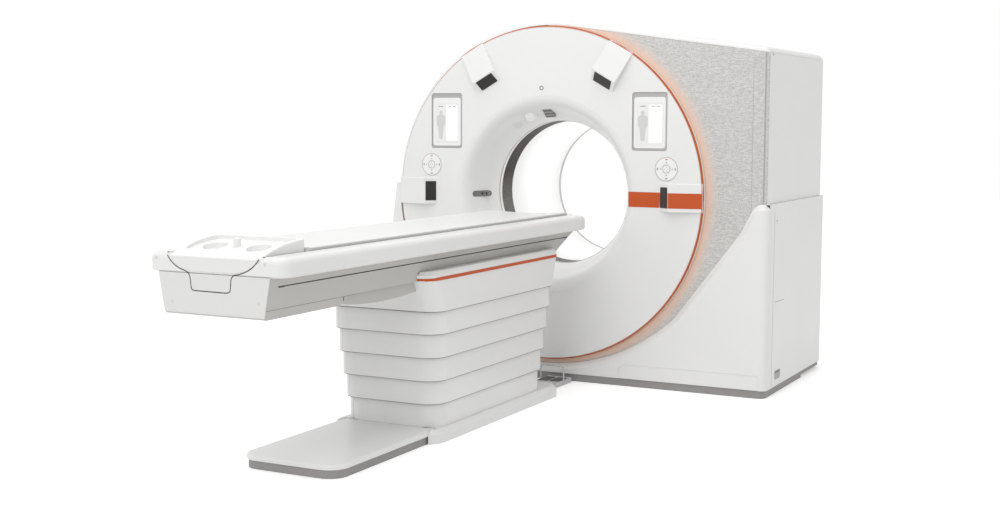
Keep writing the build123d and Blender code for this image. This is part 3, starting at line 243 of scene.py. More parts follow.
# Tunnel display behind smoked glass: dark bars, 16.5 mm apart, between paler flecked rows
BAR_PITCH = 0.0165
bar_display, tree, shader, coords = new_material("barred_tunnel_display")
place = add_node(tree, "ShaderNodeSeparateXYZ", Vector=coords)
along_bars = add_node(tree, "ShaderNodeMath", {"operation": "MULTIPLY"},
                      i0=place.outputs["Y"], i1=2 * math.pi / BAR_PITCH)
wave = add_node(tree, "ShaderNodeMath", {"operation": "SINE"}, i0=along_bars.outputs["Value"])
bars = add_node(tree, "ShaderNodeMapRange", Value=wave.outputs["Value"], From_Min=0.1, From_Max=0.5)
speck = mottle(tree, coords, 12)
tree.links.new(mix_colours(tree, bars.outputs["Result"], "#6C6866", mix_colours(tree, speck, "#A9A6A4", "#8E8B89")),
               shader.inputs["Base Color"])
tree.links.new(between(tree, speck, 0.14, 0.22), shader.inputs["Roughness"])

# Scan window: grey film, paler towards the bottom, over foam punched with holes about 7 mm apart
window_film, tree, shader, coords = new_material("grey_polycarbonate_scan_window")
place = add_node(tree, "ShaderNodeSeparateXYZ", Vector=coords)
lower = add_node(tree, "ShaderNodeMapRange", Value=place.outputs["Z"], From_Min=1.16, From_Max=0.98)
shade = mix_colours(tree, lower.outputs["Result"], "#3A3230", "#6A6865")
cells = add_node(tree, "ShaderNodeTexVoronoi", Vector=coords, Scale=1000 / 7)
holes = add_node(tree, "ShaderNodeMapRange", Value=cells.outputs["Distance"], From_Min=0.15, From_Max=0.4)
tree.links.new(mix_colours(tree, holes.outputs["Result"], "#241E1C", shade), shader.inputs["Base Color"])
tree.links.new(between(tree, mottle(tree, coords, 80), 0.45, 0.55), shader.inputs["Roughness"])
shader.inputs["Specular IOR Level"].default_value = 0.2
bump(tree, shader, holes.outputs["Result"], 0.05)

# Woven fibre panel: pale yarns run level, with short darker and lighter dashes where they dip, 4 mm high and
# 32 mm long, drawn coarser than the real 1 mm cloth so that they show, over threads of about 5 mm. Painted glow of
# the ring's lamps tints it near the ring, and a 9 mm band of painted shade darkens it where it bends round the corner.
BEND_X = 1.2525
woven, tree, shader, coords = new_material("woven_fibre_laminate")
dash = add_node(tree, "ShaderNodeTexNoise", Detail=2.0, Roughness=0.6, Scale=1.0, Vector=add_node(
    tree, "ShaderNodeMapping", Vector=coords, Scale=(1000 / 32, 1000 / 32, 1000 / 4)).outputs["Vector"])
thread = add_node(tree, "ShaderNodeTexNoise", Detail=2.0, Scale=1.0, Vector=add_node(
    tree, "ShaderNodeMapping", Vector=coords, Scale=(1000 / 5, 1000 / 5, 1000 / 5)).outputs["Vector"])
cloth = add_node(tree, "ShaderNodeMath", {"operation": "ADD"}, i0=dash.outputs["Fac"], i1=thread.outputs["Fac"])
fleck = add_node(tree, "ShaderNodeMapRange", Value=cloth.outputs["Value"],
                 From_Min=0.82, From_Max=1.18).outputs["Result"]
place = add_node(tree, "ShaderNodeSeparateXYZ", Vector=coords)
level = add_node(tree, "ShaderNodeMath", {"operation": "SUBTRACT"}, i0=place.outputs["Z"], i1=AXIS_Z)
flat_place = add_node(tree, "ShaderNodeCombineXYZ", X=place.outputs["X"], Y=level.outputs["Value"])
reach = add_node(tree, "ShaderNodeVectorMath", {"operation": "LENGTH"}, i0=flat_place.outputs["Vector"])
# Painted glow of the ring's lamps, strongest at the ring and gone 50 mm out
painted_ring_glow = add_node(tree, "ShaderNodeMapRange", {"interpolation_type": "SMOOTHSTEP"}, Value=reach.outputs["Value"],
                     From_Min=RING_R + 0.05, From_Max=RING_R, To_Max=0.8)
# A wider, fainter painted glow of the same lamps
painted_glow_halo = add_node(tree, "ShaderNodeMapRange", {"interpolation_type": "SMOOTHSTEP"}, Value=reach.outputs["Value"],
                From_Min=RING_R + 0.09, From_Max=RING_R + 0.01, To_Max=0.6)
# Painted shade on a 9 mm band where the panel bends round the corner
painted_corner_shade = add_node(tree, "ShaderNodeMath", {"operation": "COMPARE"}, i0=place.outputs["X"], i1=BEND_X, i2=0.0045)
yarns = mix_colours(tree, painted_corner_shade.outputs["Value"], mix_colours(tree, fleck, "#B3B2B0", "#D3D2D0"), "#A3A2A0")
tinted = mix_colours(tree, painted_glow_halo.outputs["Result"], yarns, "#E3CABB")
tree.links.new(mix_colours(tree, painted_ring_glow.outputs["Result"], tinted, "#E6BDA4"), shader.inputs["Base Color"])
tree.links.new(between(tree, fleck, 0.5, 0.62), shader.inputs["Roughness"])
bump(tree, shader, fleck, 0.15)

finishes = {
    cover_paint: ["front_cover", "front_fender_right", "front_fender_left", "kick_panel", "side_upper_cover",
                  "side_lower_cover", "left_side_cover", "top_cover", "top_cover_right", "rear_cover", "tunnel_liner",
                  "pod_right_lower", "pod_right_upper", "pod_left_upper", "pod_left_lower", "foot_plate",
                  "pedestal_skirt"],
    table_paint: ["pedestal_cover_1", "pedestal_cover_2", "pedestal_cover_3", "pedestal_cover_4", "pedestal_cover_5",
                  "head_cover", "table_top"],
    frame_powder: ["table_frame"],
    base_powder: ["base_frame", "table_base"],
    orange_film: ["accent_band", "accent_strip"],
    pill_glass: ["status_display"],
    opal_dome: ["camera_dome"],
    bar_display: ["bore_display"],
    display_recess_shade: ["display_left", "display_right"],
    window_film: ["scan_window"],
    laminate: ["cradle"],
    tray_abs: ["head_tray"],
    white_abs: ["control_ring_left", "control_ring_right", "control_button_left", "control_button_right"],
    key_abs: ["foot_switch"],
    pedal_rubber: ["pedal_left", "pedal_right"],
    ground_steel: ["bearing_outer_race", "bearing_inner_race", "lift_column_base", "lift_column_middle",
                   "lift_column_top"],
    cast_aluminium: ["stator_frame", "rotor_drum"],
    enamelled_copper: ["drive_stator", "slip_ring"],
    unit_enamel: ["brush_block", "xray_tube", "tube_cooler", "hv_generator", "detector_arc"],
    ring_glow: ["ring_light"],
    woven: ["woven_panel"],
}
for material, names in finishes.items():
    for name in names:
        for part in [nodes[name]] + list(nodes[name].children):
            if part.type == "MESH":
                part.data.materials.clear()
                part.data.materials.append(material)


# Pieces worked out as arrays of points

def make_piece(name, points, faces, material, body, smooth=False):
    """Put points and faces into a mesh that rides on a body, with its faces turned outwards."""
    mesh = bpy.data.meshes.new(name)
    mesh.from_pydata(np.asarray(points, float).tolist(), [], [list(map(int, f)) for f in faces])
    shell = bmesh.new()
    shell.from_mesh(mesh)
    bmesh.ops.recalc_face_normals(shell, faces=shell.faces)
    shell.to_mesh(mesh)
    shell.free()
    mesh.polygons.foreach_set("use_smooth", np.full(len(mesh.polygons), smooth))
    mesh.materials.append(material)
    piece = bpy.data.objects.new(name, mesh)
    bpy.context.collection.objects.link(piece)
    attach(piece, body)
    return piece


def ring_faces(rows, count, closed_rows=False):
    """Quads between rows of count points each, round every row, and round the rows too where they close."""
    row = np.arange(rows if closed_rows else rows - 1)[:, None]
    col = np.arange(count)[None, :]
    after, beside = (row + 1) % rows, (col + 1) % count
    corners = [row * count + col, row * count + beside, after * count + beside, after * count + col]
    return np.stack(corners, -1).reshape(-1, 4)


def round_rectangle(width, height, radius, steps=6):
    """Outline of a rectangle whose corners are quarter circles of the radius."""
    turn = np.linspace(0, math.pi / 2, steps)
    arc = np.stack([np.cos(turn), np.sin(turn)], 1) * radius
    corners = []
    for quarter, (sx, sy) in enumerate(((1, 1), (-1, 1), (-1, -1), (1, -1))):
        c, s = math.cos(quarter * math.pi / 2), math.sin(quarter * math.pi / 2)
        corners.append(arc @ np.array([[c, s], [-s, c]]) + (sx * (width / 2 - radius), sy * (height / 2 - radius)))
    return np.concatenate(corners)


def disc(radius, steps=32):
    """Outline of a circle."""
    turn = np.arange(steps) * 2 * math.pi / steps
    return np.stack([np.cos(turn), np.sin(turn)], 1) * radius


def outline_normals(outline):
    """Outward normals of an anticlockwise outline, each across the line between the point's two neighbours."""
    tangent = np.roll(outline, -1, 0) - np.roll(outline, 1, 0)
    tangent /= np.linalg.norm(tangent, axis=1)[:, None]
    return np.stack([tangent[:, 1], -tangent[:, 0]], 1)


def upright_circle(x, y, z, radius, steps=72):
    """Circle of the radius round (x, z), in the plane across the tunnel at y."""
    ring = disc(radius, steps)
    return np.stack([x + ring[:, 0], np.full(steps, y), z + ring[:, 1]], 1)


def plate(name, outline, origin, x_dir, y_dir, top, material, body, slot, bottom=-0.0015, edge=0.0004):
    """Plate on a plane: its outline raised from bottom to top, the last step moved in by edge along the
    outline's normals, closed below and above by one face each."""
    along_x, along_y = np.array(x_dir, float), np.array(y_dir, float)
    out = np.cross(along_x, along_y)
    inner = outline - edge * outline_normals(outline)
    rows = [(outline, bottom), (outline, top - edge), (inner, top)]
    points = np.concatenate([np.array(origin) + ring[:, :1] * along_x + ring[:, 1:] * along_y + lift * out
                             for ring, lift in rows])
    count = len(outline)
    faces = ring_faces(3, count).tolist() + [list(range(count))[::-1], list(range(2 * count, 3 * count))]
    return make_piece(name, points, faces, material, body)


def strip(name, path, normals, width, height, material, body, slot, closed=False, sink=0.001):
    """Flat strip: a rectangle, width across and from sink below to height above the path, carried along it."""
    path = np.asarray(path, float)
    normals = np.broadcast_to(np.asarray(normals, float), path.shape)
    if closed:
        tangent = np.roll(path, -1, 0) - np.roll(path, 1, 0)
    else:
        tangent = np.gradient(path, axis=0)
    side = np.cross(tangent, normals)
    side /= np.linalg.norm(side, axis=1)[:, None]
    corners = ((-0.5, -sink), (0.5, -sink), (0.5, height), (-0.5, height))
    points = np.stack([path + a * width * side + b * normals for a, b in corners], 1).reshape(-1, 3)
    faces = ring_faces(len(path), 4, closed).tolist()
    if not closed:
        last = 4 * (len(path) - 1)
        faces += [[0, 1, 2, 3], [last + 3, last + 2, last + 1, last]]
    return make_piece(name, points, faces, material, body)


def studs(name, centres, normals, radius, height, material, body, slot, steps=14):
    """Low round studs: at each centre a circle in the plane across its normal, raised to a smaller circle."""
    centres = np.asarray(centres, float)
    normals = np.broadcast_to(np.asarray(normals, float), centres.shape)
    helper = np.where(np.abs(normals[:, 2:]) > 0.9, np.array([[1.0, 0, 0]]), np.array([[0, 0, 1.0]]))
    u = np.cross(helper, normals)
    u /= np.linalg.norm(u, axis=1)[:, None]
    v = np.cross(normals, u)
    turn = np.arange(steps) * 2 * math.pi / steps
    circle = u[:, None] * np.cos(turn)[None, :, None] + v[:, None] * np.sin(turn)[None, :, None]
    rows = [centres[:, None] + circle * r + normals[:, None] * h
            for r, h in ((radius, -0.001), (radius, height * 0.6), (radius * 0.8, height))]
    points = np.stack(rows, 1).reshape(-1, 3)
    one = ring_faces(3, steps).tolist() + [list(range(steps))[::-1], list(range(2 * steps, 3 * steps))]
    faces = [[i + 3 * steps * k for i in face] for k in range(len(centres)) for face in one]
    return make_piece(name, points, faces, material, body)


def rounded_path(points, radius, steps=6):
    """Open path through points whose inner corners become quadratic curves that start radius before them."""
    p = np.asarray(points, float)
    out = [p[:1]]
    t = np.linspace(0, 1, steps)[:, None]
    for before, corner, after in zip(p[:-2], p[1:-1], p[2:]):
        reach_in = min(radius, np.linalg.norm(corner - before) / 2)
        reach_out = min(radius, np.linalg.norm(after - corner) / 2)
        a = corner + (before - corner) / np.linalg.norm(before - corner) * reach_in
        b = corner + (after - corner) / np.linalg.norm(after - corner) * reach_out
        out.append(a * (1 - t) ** 2 + corner * 2 * t * (1 - t) + b * t**2)
    out.append(p[-1:])
    return np.concatenate(out)


FORWARD = (0.0, -1.0, 0.0)
BACK = (0.0, 1.0, 0.0)
RIGHT = (1.0, 0.0, 0.0)
LEFT = (-1.0, 0.0, 0.0)
UP = (0.0, 0.0, 1.0)
skins = {}


def ray_tree(mesh):
    """The mesh's points and faces, sorted for finding where rays meet them."""
    points = np.empty(3 * len(mesh.vertices), np.float32)
    mesh.vertices.foreach_get("co", points)
    corners = np.empty(len(mesh.loops), np.int32)
    mesh.loops.foreach_get("vertex_index", corners)
    starts = np.empty(len(mesh.polygons), np.int32)
    mesh.polygons.foreach_get("loop_start", starts)
    faces = [face.tolist() for face in np.split(corners, starts[1:])]
    return BVHTree.FromPolygons(points.reshape(-1, 3).tolist(), faces)


def on_node(name, start, direction):
    """Where a ray from start first meets the node, and the surface's normal there, or None where it misses."""
    if name not in skins:
        skins[name] = ray_tree(nodes[name].data)
    hit, normal, _, _ = skins[name].ray_cast(Vector(start), Vector(direction))
    if hit is None:
        return None
    if normal.dot(Vector(direction)) > 0:
        normal = -normal
    return np.array(hit), np.array(normal)


def on_front(x, z, name="front_cover"):
    """Point of the front straight behind (x, z), and its normal there."""
    return on_node(name, (x, FRONT_Y - 0.5, z), BACK)


def met(node, starts, direction):
    """Places where rays from the starts meet the node, and its normals there, without the rays that miss."""
    found = [f for f in (on_node(node, start, direction) for start in starts) if f]
    return [f[0] for f in found], [f[1] for f in found]


def seam(name, node, starts, direction, width, height, material, body, slot, sink=0.001):
    """A joint line on a node: a strip along the points where rays from the starts meet it."""
    path, normals = met(node, starts, direction)
    return strip(name, path, normals, width, height, material, body, slot, sink=sink)


# Pods: smoked windows on the slopes that face the tunnel. Each pod rises from its inner end to a ridge and
# falls again to its outer end.
POD_INNER_R, POD_RIDGE_R, POD_OUTER_R = 0.690, 0.752, 0.934
POD_RISE, POD_OUTER_RISE = 0.042, 0.009
pod_angles = (("right_lower", 0), ("right_upper", 60.5), ("left_upper", 119.5), ("left_lower", 180))
for name, angle in pod_angles:
    turn = math.radians(angle)
    outward = np.array([math.cos(turn), 0, math.sin(turn)])
    round_way = np.array([-math.sin(turn), 0, math.cos(turn)])
    slope = outward * (POD_RIDGE_R - POD_INNER_R) + np.array(FORWARD) * POD_RISE
    slope /= np.linalg.norm(slope)
    middle = outward * (POD_INNER_R + POD_RIDGE_R) / 2 + np.array([0, FRONT_Y - POD_RISE / 2, AXIS_Z])
    if np.dot(np.cross(slope, round_way), FORWARD) < 0:
        round_way = -round_way
    plate(f"pod_window_{name}", round_rectangle(0.062, 0.112, 0.004), middle, slope, round_way, 0.0022,
          smoked_acrylic, "gantry", "dark_window", bottom=0.0002, edge=0.0006)

# The light ring's orange line runs on over the outer ends of the pods
POD_LINE_R = 0.9318
for name, angle in pod_angles[:3]:
    turns = np.radians(np.linspace(angle - 4.7, angle + 4.7, 12))
    arc = np.stack([POD_LINE_R * np.cos(turns), np.full(12, FRONT_Y - 0.0096), AXIS_Z + POD_LINE_R * np.sin(turns)], 1)
    strip(f"pod_ring_line_{name}", arc, FORWARD, 0.0045, PRINT_RISE, orange_film, "gantry", "accent_orange")

# Orange film over the lower right pod: up its inner slope, over the ridge and down to the ring
band_z = AXIS_Z - 0.015
profile = rounded_path([(POD_INNER_R, 0), (POD_RIDGE_R, POD_RISE), (POD_OUTER_R - 0.001, POD_OUTER_RISE)], 0.006)
film_path = np.stack([profile[:, 0], FRONT_Y - profile[:, 1], np.full(len(profile), band_z)], 1)
slope = np.gradient(profile, axis=0)
slope /= np.linalg.norm(slope, axis=1)[:, None]
film_normal = np.stack([-slope[:, 1], -slope[:, 0], np.zeros(len(slope))], 1)
strip("pod_film", film_path, film_normal, 0.082, 0.0007, orange_film, "gantry", "accent_orange", sink=0.0005)
tab = np.array([on_front(x, band_z) for x in (0.474, 0.482, 0.490, 0.4985)])
strip("film_tab", tab[:, 0], tab[:, 1], 0.078, 0.0014, pale_tab, "gantry", "accent_orange", sink=0.001)

# Displays: white housing in its recess, pale screen with a sheet on the right and a plain standing figure on
# the left. The figure's outline is its half width at each height, both as shares of its height.
FIGURE_HEIGHT = 0.165
figure_z = np.array([1.0, 0.96, 0.90, 0.865, 0.84, 0.80, 0.68, 0.55, 0.47, 0.44, 0.30, 0.12, 0.03, 0.0])
figure_w = np.array([0.02, 0.062, 0.066, 0.035, 0.10, 0.165, 0.18, 0.175, 0.155, 0.115, 0.10, 0.075, 0.07, 0.02])
figure = np.concatenate([np.stack([figure_w, figure_z], 1), np.stack([-figure_w, figure_z], 1)[::-1]])
figure = figure[::-1] * FIGURE_HEIGHT - (0, FIGURE_HEIGHT / 2)
for side, sign in (("left", -1), ("right", 1)):
    x, z, y = sign * 0.626, 1.4505, FRONT_Y + 0.005
    plate(f"display_housing_{side}", round_rectangle(0.182, 0.276, 0.016), (x, y, z), RIGHT, UP, 0.0042, white_abs,
          "gantry", "key_grey", edge=0.002)
    y, z = y - 0.0042, z - 0.0055
    plate(f"display_screen_{side}", round_rectangle(0.155, 0.234, 0.006), (x, y, z), RIGHT, UP, 0.0008, panel_field,
          "gantry", "screen", bottom=-0.0005)
    y -= 0.0008
    plate(f"display_sheet_{side}", round_rectangle(0.078, 0.206, 0.003), (x + 0.034, y, z), RIGHT, UP, PRINT_RISE,
          panel_sheet, "gantry", "screen", bottom=-0.0004, edge=0.0001)
    plate(f"display_figure_{side}", figure, (x - 0.039, y, z - 0.012), RIGHT, UP, PRINT_RISE,
          panel_figure, "gantry", "screen", bottom=-0.0004, edge=0.0001)
    for row, (offset, length) in enumerate(((-0.039, 0.03), (0.02, 0.018), (0.05, 0.022))):
        plate(f"display_heading_{side}_{row}", round_rectangle(length, 0.004, 0.0015), (x + offset, y, z + 0.094),
              RIGHT, UP, 0.0005, grey_ink, "gantry", "screen", bottom=-0.0004, edge=0.0001)

# Control pads: printed circle and ticks on the ring key, circle and dots on the button, orange tick at the top
pad_y = FRONT_Y - 0.002
quarter = np.array([(1, 0), (0, 1), (-1, 0), (0, -1)])
for side, sign in (("left", -1), ("right", 1)):
    x, z = sign * 0.726, 1.203
    for part, radius, body in (("ring", 0.063, f"ring_key_{side}"), ("button", 0.0205, f"button_{side}")):
        strip(f"pad_circle_{part}_{side}", upright_circle(x, pad_y, z, radius), FORWARD, 0.0022, PRINT_RISE, grey_ink,
              body, "key_grey", closed=True)
    spots = np.stack([x + quarter[:, 0] * 0.034, np.full(4, pad_y), z + quarter[:, 1] * 0.034], 1)
    studs(f"pad_dots_{side}", spots, FORWARD, 0.0032, 0.0004, grey_ink, f"ring_key_{side}", "key_grey")
    for number, (dx, dz) in enumerate(quarter):
        is_top = dz == 1
        plate(f"pad_tick_{side}_{number}", round_rectangle(0.014 if dz else 0.006, 0.006 if dz else 0.014, 0.002),
              (x + dx * 0.051, pad_y, z + dz * 0.051), RIGHT, UP, 0.0004, orange_ink if is_top else grey_ink,
              f"ring_key_{side}", "key_grey", bottom=-0.0005, edge=0.0001)
    dots = np.stack([x + quarter[:, 0] * 0.009, np.full(4, pad_y), z + quarter[:, 1] * 0.009], 1)
    studs(f"button_dots_{side}", dots, FORWARD, 0.0022, 0.0004, grey_ink, f"button_{side}", "key_grey")

# Small ring above the tunnel, and the loudspeaker's holes in the flare: rows 5.5 mm and columns 7.5 mm apart
strip("indicator_ring", upright_circle(-0.020, FRONT_Y, 1.641, 0.010), FORWARD, 0.005, 0.0012, grey_ink, "gantry",
      "key_grey", closed=True)
hole_places = []
turn, distance = math.radians(121.4), 0.4491
for row in range(-2, 3):
    for column in range(-3, 4):
        if abs(row) + abs(column) < 5:
            a, r = turn + column * 0.0075 / distance, distance + row * 0.0055
            hole_places.append(on_front(r * math.cos(a), AXIS_Z + r * math.sin(a)))
hole_places = np.array(hole_places)
studs("speaker_holes", hole_places[:, 0], hole_places[:, 1], 0.002, PRINT_RISE, grey_ink, "gantry", "key_grey", 8)

# Status display: two dark segments on its grey pill
for number, (x, length) in enumerate(((-0.4525, 0.013), (-0.4345, 0.011))):
    spot, normal = on_front(x, AXIS_Z - 0.015, "status_display")
    along = np.cross(UP, normal)
    along /= np.linalg.norm(along)
    plate(f"status_segment_{number}", round_rectangle(length, 0.016, 0.002), spot, along, np.cross(normal, along),
          0.0004, smoked_acrylic, "gantry", "dark_window")

# A thin joint round the tunnel where the flare ends, and a wide grey band of painted shade at the rear end of the
# liner
JOINT_AND_SHADE_GREY = joint_and_shade_paint, "gantry", "cover_white"
DARK_FITTING = joint_rubber, "gantry", "cover_white"
turns = disc(1.0, 72)
inward = np.stack([-turns[:, 0], np.zeros(72), -turns[:, 1]], 1)
strip("tunnel_lip_joint", upright_circle(0, FRONT_Y + 0.2555, AXIS_Z, TUNNEL_R), inward, 0.0025, 0.0012,
      *JOINT_AND_SHADE_GREY, closed=True)
rear_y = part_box("tunnel_liner")[1][1]
strip("tunnel_rear_joint", upright_circle(0, rear_y - 0.012, AXIS_Z, TUNNEL_R), inward, 0.022, JOINT_RISE,
      *JOINT_AND_SHADE_GREY, closed=True)

# Right side: joints beside the corner, the small locks, slit and finger pocket of the side covers, and the paint
# that closes the gap between the fender's top and the side cover
seam("woven_joint", "woven_panel", [(1.187, -1.0, z) for z in np.linspace(0.99, 1.93, 12)], BACK, 0.003, 0.0005,
     *JOINT_AND_SHADE_GREY)
seam("side_corner_joint", "side_lower_cover", [(OUTSIDE, -0.243, z) for z in np.linspace(0.05, 1.0, 8)], LEFT,
     0.004, JOINT_RISE, *JOINT_AND_SHADE_GREY)
for name, node, y, z in (("upper", "side_upper_cover", -0.262, 1.808), ("lower", "side_lower_cover", -0.199, 0.936)):
    spot, normal = on_node(node, (OUTSIDE, y, z), LEFT)
    studs(f"side_lock_{name}", [spot], normal, 0.0055, 0.0006, *DARK_FITTING)
slit_ends = [(OUTSIDE, FRONT_Y + 0.155, 0.502), (OUTSIDE, FRONT_Y + 0.318, 0.500)]
seam("side_slit", "side_lower_cover", slit_ends, LEFT, 0.004, JOINT_RISE, *JOINT_AND_SHADE_GREY)
plate("corner_bridge", round_rectangle(0.026, 0.03, 0.004), (1.281, -0.305, 1.0272), RIGHT, BACK, 0.0004,
      cover_paint, "gantry", "cover_white")
# Finger pocket: a grey plate of painted shade for its recess, and a darker strip of painted shadow near its upper edge
spot, normal = on_node("side_lower_cover", (OUTSIDE, FRONT_Y + 0.22, 0.103), LEFT)
plate("side_pocket", round_rectangle(0.105, 0.05, 0.008), spot, BACK, UP, JOINT_RISE, *JOINT_AND_SHADE_GREY)
plate("side_pocket_shade", round_rectangle(0.095, 0.012, 0.004), spot + (0, 0, 0.015), BACK, UP, 0.0006,
      shadow_and_joint_grey, "gantry", "cover_white")

# Rear: joints between the cover's panels, cooling slots 22 mm apart, and small locks
for number, (x, top) in enumerate(((-0.62, 1.72), (0.72, 1.86))):
    seam(f"rear_joint_{number}", "rear_cover", [(x, OUTSIDE, z) for z in np.linspace(0.06, top, 9)], FORWARD,
         0.004, JOINT_RISE, *JOINT_AND_SHADE_GREY)
for number, (x0, x1) in enumerate(((-0.9, -0.62), (0.72, 1.24))):
    seam(f"rear_sill_{number}", "rear_cover", [(x, OUTSIDE, 0.62) for x in np.linspace(x0, x1, 5)], FORWARD,
         0.004, JOINT_RISE, *JOINT_AND_SHADE_GREY)
for row in range(9):
    seam(f"rear_slot_{row}", "rear_cover", [(x, OUTSIDE, 0.20 + 0.022 * row) for x in (0.84, 0.98, 1.12)], FORWARD,
         0.009, JOINT_RISE, *DARK_FITTING)
lock_places = ((-0.58, 0.12), (-0.58, 1.62), (0.68, 0.12), (0.68, 1.78), (0.76, 1.78), (0.76, 0.66), (1.2, 0.66))
spots, normals = met("rear_cover", [(x, OUTSIDE, z) for x, z in lock_places], FORWARD)
studs("rear_locks", spots, normals, 0.006, 0.0006, *DARK_FITTING)

# Foot end of the table: gap round the cradle's end and its flap, as seen on the end face, and painted screws
gap_line = rounded_path([(-0.2185, 0.940), (-0.200, 0.914), (-0.165, 0.892), (-0.112, 0.877), (-0.106, 0.830),
                         (-0.104, 0.809), (0.078, 0.807), (0.083, 0.828), (0.086, 0.874), (0.14, 0.885),
                         (0.186, 0.908), (0.2165, 0.942)], 0.022)
gap_path = np.stack([gap_line[:, 0], np.full(len(gap_line), TABLE_END_Y - 0.0003), gap_line[:, 1]], 1)
strip("flap_gap", gap_path, FORWARD, 0.0042, 0.0, joint_rubber, "table", "table_white")
screws = [(x, TABLE_END_Y + 0.0002, z) for x, z in
          ((-0.198, 0.762), (0.212, 0.776), (-0.274, 0.927), (0.243, 0.924))]
studs("end_screws", screws, FORWARD, 0.007, 0.0005, screw_paint, "table", "table_white")

# Table: dark gap along both sides of the cradle, dark rail in each side groove, joint and end of the lower pan
pan_end = rounded_path([(-2.742, 0.746), (-2.742, 0.712), (-2.89, 0.7105)], 0.02)
for hand, side in (("left", -1), ("right", 1)):
    gap_ends = [(side * 0.2275, FRONT_Y + y, 0.950) for y in (-2.905, -1.5, -0.128)]
    strip(f"cradle_gap_{hand}", gap_ends, UP, 0.0042, JOINT_RISE, joint_rubber, "table", "table_white")
    inwards, beside = (-side, 0.0, 0.0), side * 0.6
    seam(f"side_rail_{hand}", "table_frame", [(beside, y, 0.8352) for y in np.linspace(-3.205, -0.60, 6)], inwards,
         0.0068, JOINT_RISE, joint_rubber, "table", "table_grey", sink=0.003)
    seam(f"pan_joint_{hand}", "table_frame", [(beside, y, 0.748) for y in np.linspace(-3.262, -2.19, 9)], inwards,
         0.0022, JOINT_RISE, shadow_and_joint_grey, "table", "table_grey", sink=0.0005)
    seam(f"pan_end_gap_{hand}", "table_frame", [(beside, y, z) for y, z in pan_end], inwards,
         0.0055, JOINT_RISE, joint_rubber, "table", "table_grey", sink=0.0005)

# Orange film round both sides of the pedestal's head, over the narrower strip of the CAD model
low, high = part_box("accent_strip")
outline = round_rectangle(high[0] - low[0] + 0.0006, high[1] - low[1] + 0.0006, 0.1018, 12)
outward = outline_normals(outline)
film_z = (low[2] + high[2]) / 2
for hand, side in (("left", -1), ("right", 1)):
    run = np.flatnonzero(side * outline[:, 0] > 0.262)
    gap = np.flatnonzero(np.diff(run) > 1)
    run = np.roll(run, -gap[0] - 1) if len(gap) else run
    film = np.column_stack([outline[run, 0], outline[run, 1] + (low[1] + high[1]) / 2, np.full(len(run), film_z)])
    strip(f"head_film_{hand}", film, np.column_stack([outward[run], np.zeros(len(run))]), 0.0145, 0.0,
          orange_film, "table", "accent_orange", sink=0.0012)

# Painted shadow under each sliding cover: a low grey band inside its lower edge, on the cover's body; then the
# covers' upright joints
for cover, body in (("head_cover", "table"), ("pedestal_cover_1", "cover_1"), ("pedestal_cover_2", "cover_2"),
                    ("pedestal_cover_3", "cover_3"), ("pedestal_cover_4", "cover_4")):
    low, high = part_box(cover)
    height = low[2] + 0.004
    reach_x = on_node(cover, (1.0, -1.45, height), LEFT)[0][0]
    front = on_node(cover, (0, -3.4, height), BACK)[0][1]
    rear = on_node(cover, (0, 0.0, height), FORWARD)[0][1]
    outline = round_rectangle(2 * reach_x - 0.002, rear - front - 0.002, 0.1, 12)
    lip = np.column_stack([outline + (0, (front + rear) / 2), np.full(len(outline), low[2] - 0.0008)])
    outward = np.column_stack([outline_normals(outline), np.zeros(len(outline))])
    strip(f"{cover}_lip", lip, outward, 0.0042, 0.0, shadow_and_joint_grey, body, "table_white", closed=True, sink=0.005)
for number in range(1, 6):
    cover, body = f"pedestal_cover_{number}", f"cover_{number}" if number < 5 else "gantry"
    low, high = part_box(cover)
    levels = np.linspace(low[2] + 0.004, low[2] + 0.098, 3)
    for face, starts, direction in (("front", [(low[0] + 0.062, -3.4, z) for z in levels], BACK),
                                    ("side", [(1.0, high[1] - 0.062, z) for z in levels], LEFT)):
        seam(f"{cover}_{face}_joint", cover, starts, direction, 0.0016, PRINT_RISE, joint_and_shade_paint, body, "table_white",
             sink=0.0005)

# Camera at the photograph's viewpoint: lens, angles and place as solved from the photograph's lines

camera_data = bpy.data.cameras.new("camera")
camera_data.lens = 50.468
camera_data.sensor_width = 36.0
camera_data.clip_end = 60.0
camera = bpy.data.objects.new("camera", camera_data)
yaw, pitch, roll = math.radians(27.199), math.radians(5.387), math.radians(0.231)
forward = np.array([-math.sin(yaw) * math.cos(pitch), math.cos(yaw) * math.cos(pitch), -math.sin(pitch)])
level = np.array([math.cos(yaw), math.sin(yaw), 0.0])
above = np.cross(level, forward)
across = math.cos(roll) * level + math.sin(roll) * above
upward = -math.sin(roll) * level + math.cos(roll) * above
matrix = np.eye(4)
matrix[:3, 0], matrix[:3, 1], matrix[:3, 2] = across, upward, -forward
matrix[:3, 3] = (3.3776, -7.4629, 1.4605)
camera.matrix_world = Matrix(matrix.tolist())
bpy.context.collection.objects.link(camera)
bpy.context.scene.camera = camera


# Floor, light and world

def seen_directly(tree):
    """1 for camera, glossy and transmission rays, 0 for the rays that only carry light."""
    path = tree.nodes.new("ShaderNodeLightPath")
    seen = add_node(tree, "ShaderNodeMath", {"operation": "MAXIMUM"},
                    i0=path.outputs["Is Camera Ray"], i1=path.outputs["Is Glossy Ray"])
    seen = add_node(tree, "ShaderNodeMath", {"operation": "MAXIMUM"},
                    i0=seen.outputs["Value"], i1=path.outputs["Is Transmission Ray"])
    return seen.outputs["Value"]


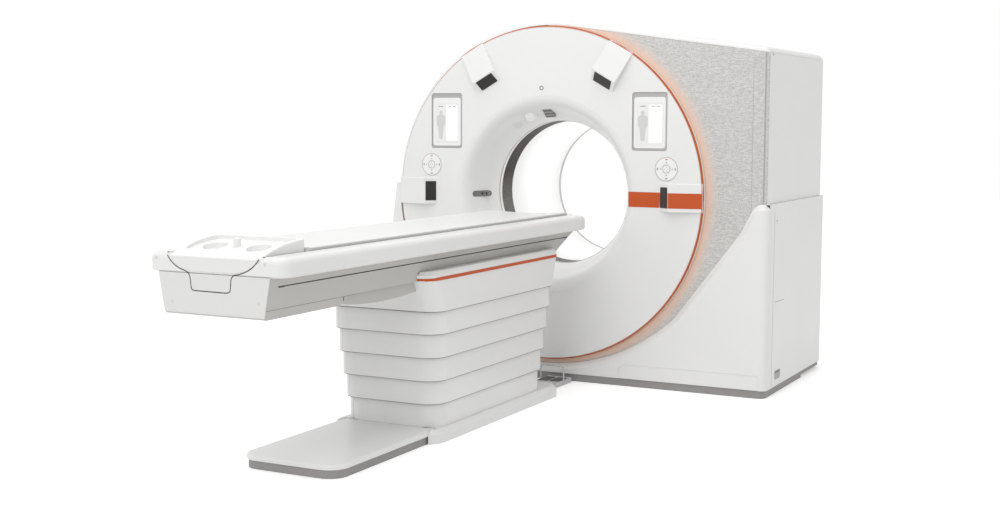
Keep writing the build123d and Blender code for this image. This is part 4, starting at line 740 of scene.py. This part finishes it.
def stage_white(name, strength):
    """A white surface that camera, glossy and transmission rays see as plain white, and that still takes shadows."""
    material, tree, shader, _ = new_material(name)
    shader.inputs["Base Color"].default_value = linear("#F2F2F2")
    shader.inputs["Roughness"].default_value = 0.7
    shader.inputs["Emission Color"].default_value = (1.0, 1.0, 1.0, 1.0)
    lit = add_node(tree, "ShaderNodeMath", {"operation": "MULTIPLY"}, i0=seen_directly(tree), i1=strength)
    tree.links.new(lit.outputs["Value"], shader.inputs["Emission Strength"])
    return material


floor_mesh = bpy.data.meshes.new("floor")
floor_mesh.from_pydata([(-20, -14, 0), (20, -14, 0), (20, 20, 0), (-20, 20, 0)], [], [(0, 1, 2, 3)])
floor = bpy.data.objects.new("floor", floor_mesh)
floor_mesh.materials.append(stage_white("studio_floor", 0.36))
bpy.context.collection.objects.link(floor)

world = bpy.data.worlds.new("studio")
bpy.context.scene.world = world
world.use_nodes = True
background = world.node_tree.nodes["Background"]
strength = between(world.node_tree, seen_directly(world.node_tree), 0.76, 1.0)
world.node_tree.links.new(strength, background.inputs["Strength"])
background.inputs["Color"].default_value = (1.0, 1.0, 1.0, 1.0)


def softbox(name, place, target, size, power):
    """A square area lamp at place, aimed at target."""
    lamp = bpy.data.lights.new(name, "AREA")
    lamp.shape = "SQUARE"
    lamp.size = size
    lamp.energy = power
    box = bpy.data.objects.new(name, lamp)
    towards = np.array(target, float) - np.array(place, float)
    towards /= np.linalg.norm(towards)
    side = np.cross(towards, (0, 0, 1))
    side /= np.linalg.norm(side)
    turn = np.eye(4)
    turn[:3, 0], turn[:3, 1], turn[:3, 2], turn[:3, 3] = side, np.cross(side, towards), -towards, place
    box.matrix_world = Matrix(turn.tolist())
    bpy.context.collection.objects.link(box)


softbox("key_light", (0.9, -8.0, 4.4), (0, -1.0, 1.0), 3.5, 92)
softbox("left_light", (-5.5, -4.5, 3.6), (0, -0.5, 0.9), 4.0, 15)
softbox("top_light", (0.0, -2.4, 5.5), (0, -1.6, 0), 4.0, 92)
# Small hidden lamp inside the tunnel, whose white liner is fully bright in the photograph
lamp = bpy.data.lights.new("tunnel_light", "POINT")
lamp.shadow_soft_size = 0.12
lamp.energy = 4.8
bulb = bpy.data.objects.new("tunnel_light", lamp)
bulb.location = (0.05, 0.42, 1.12)
bulb.visible_camera = False
bulb.visible_glossy = False
bpy.context.collection.objects.link(bulb)

bpy.context.scene.view_settings.view_transform = "Standard"
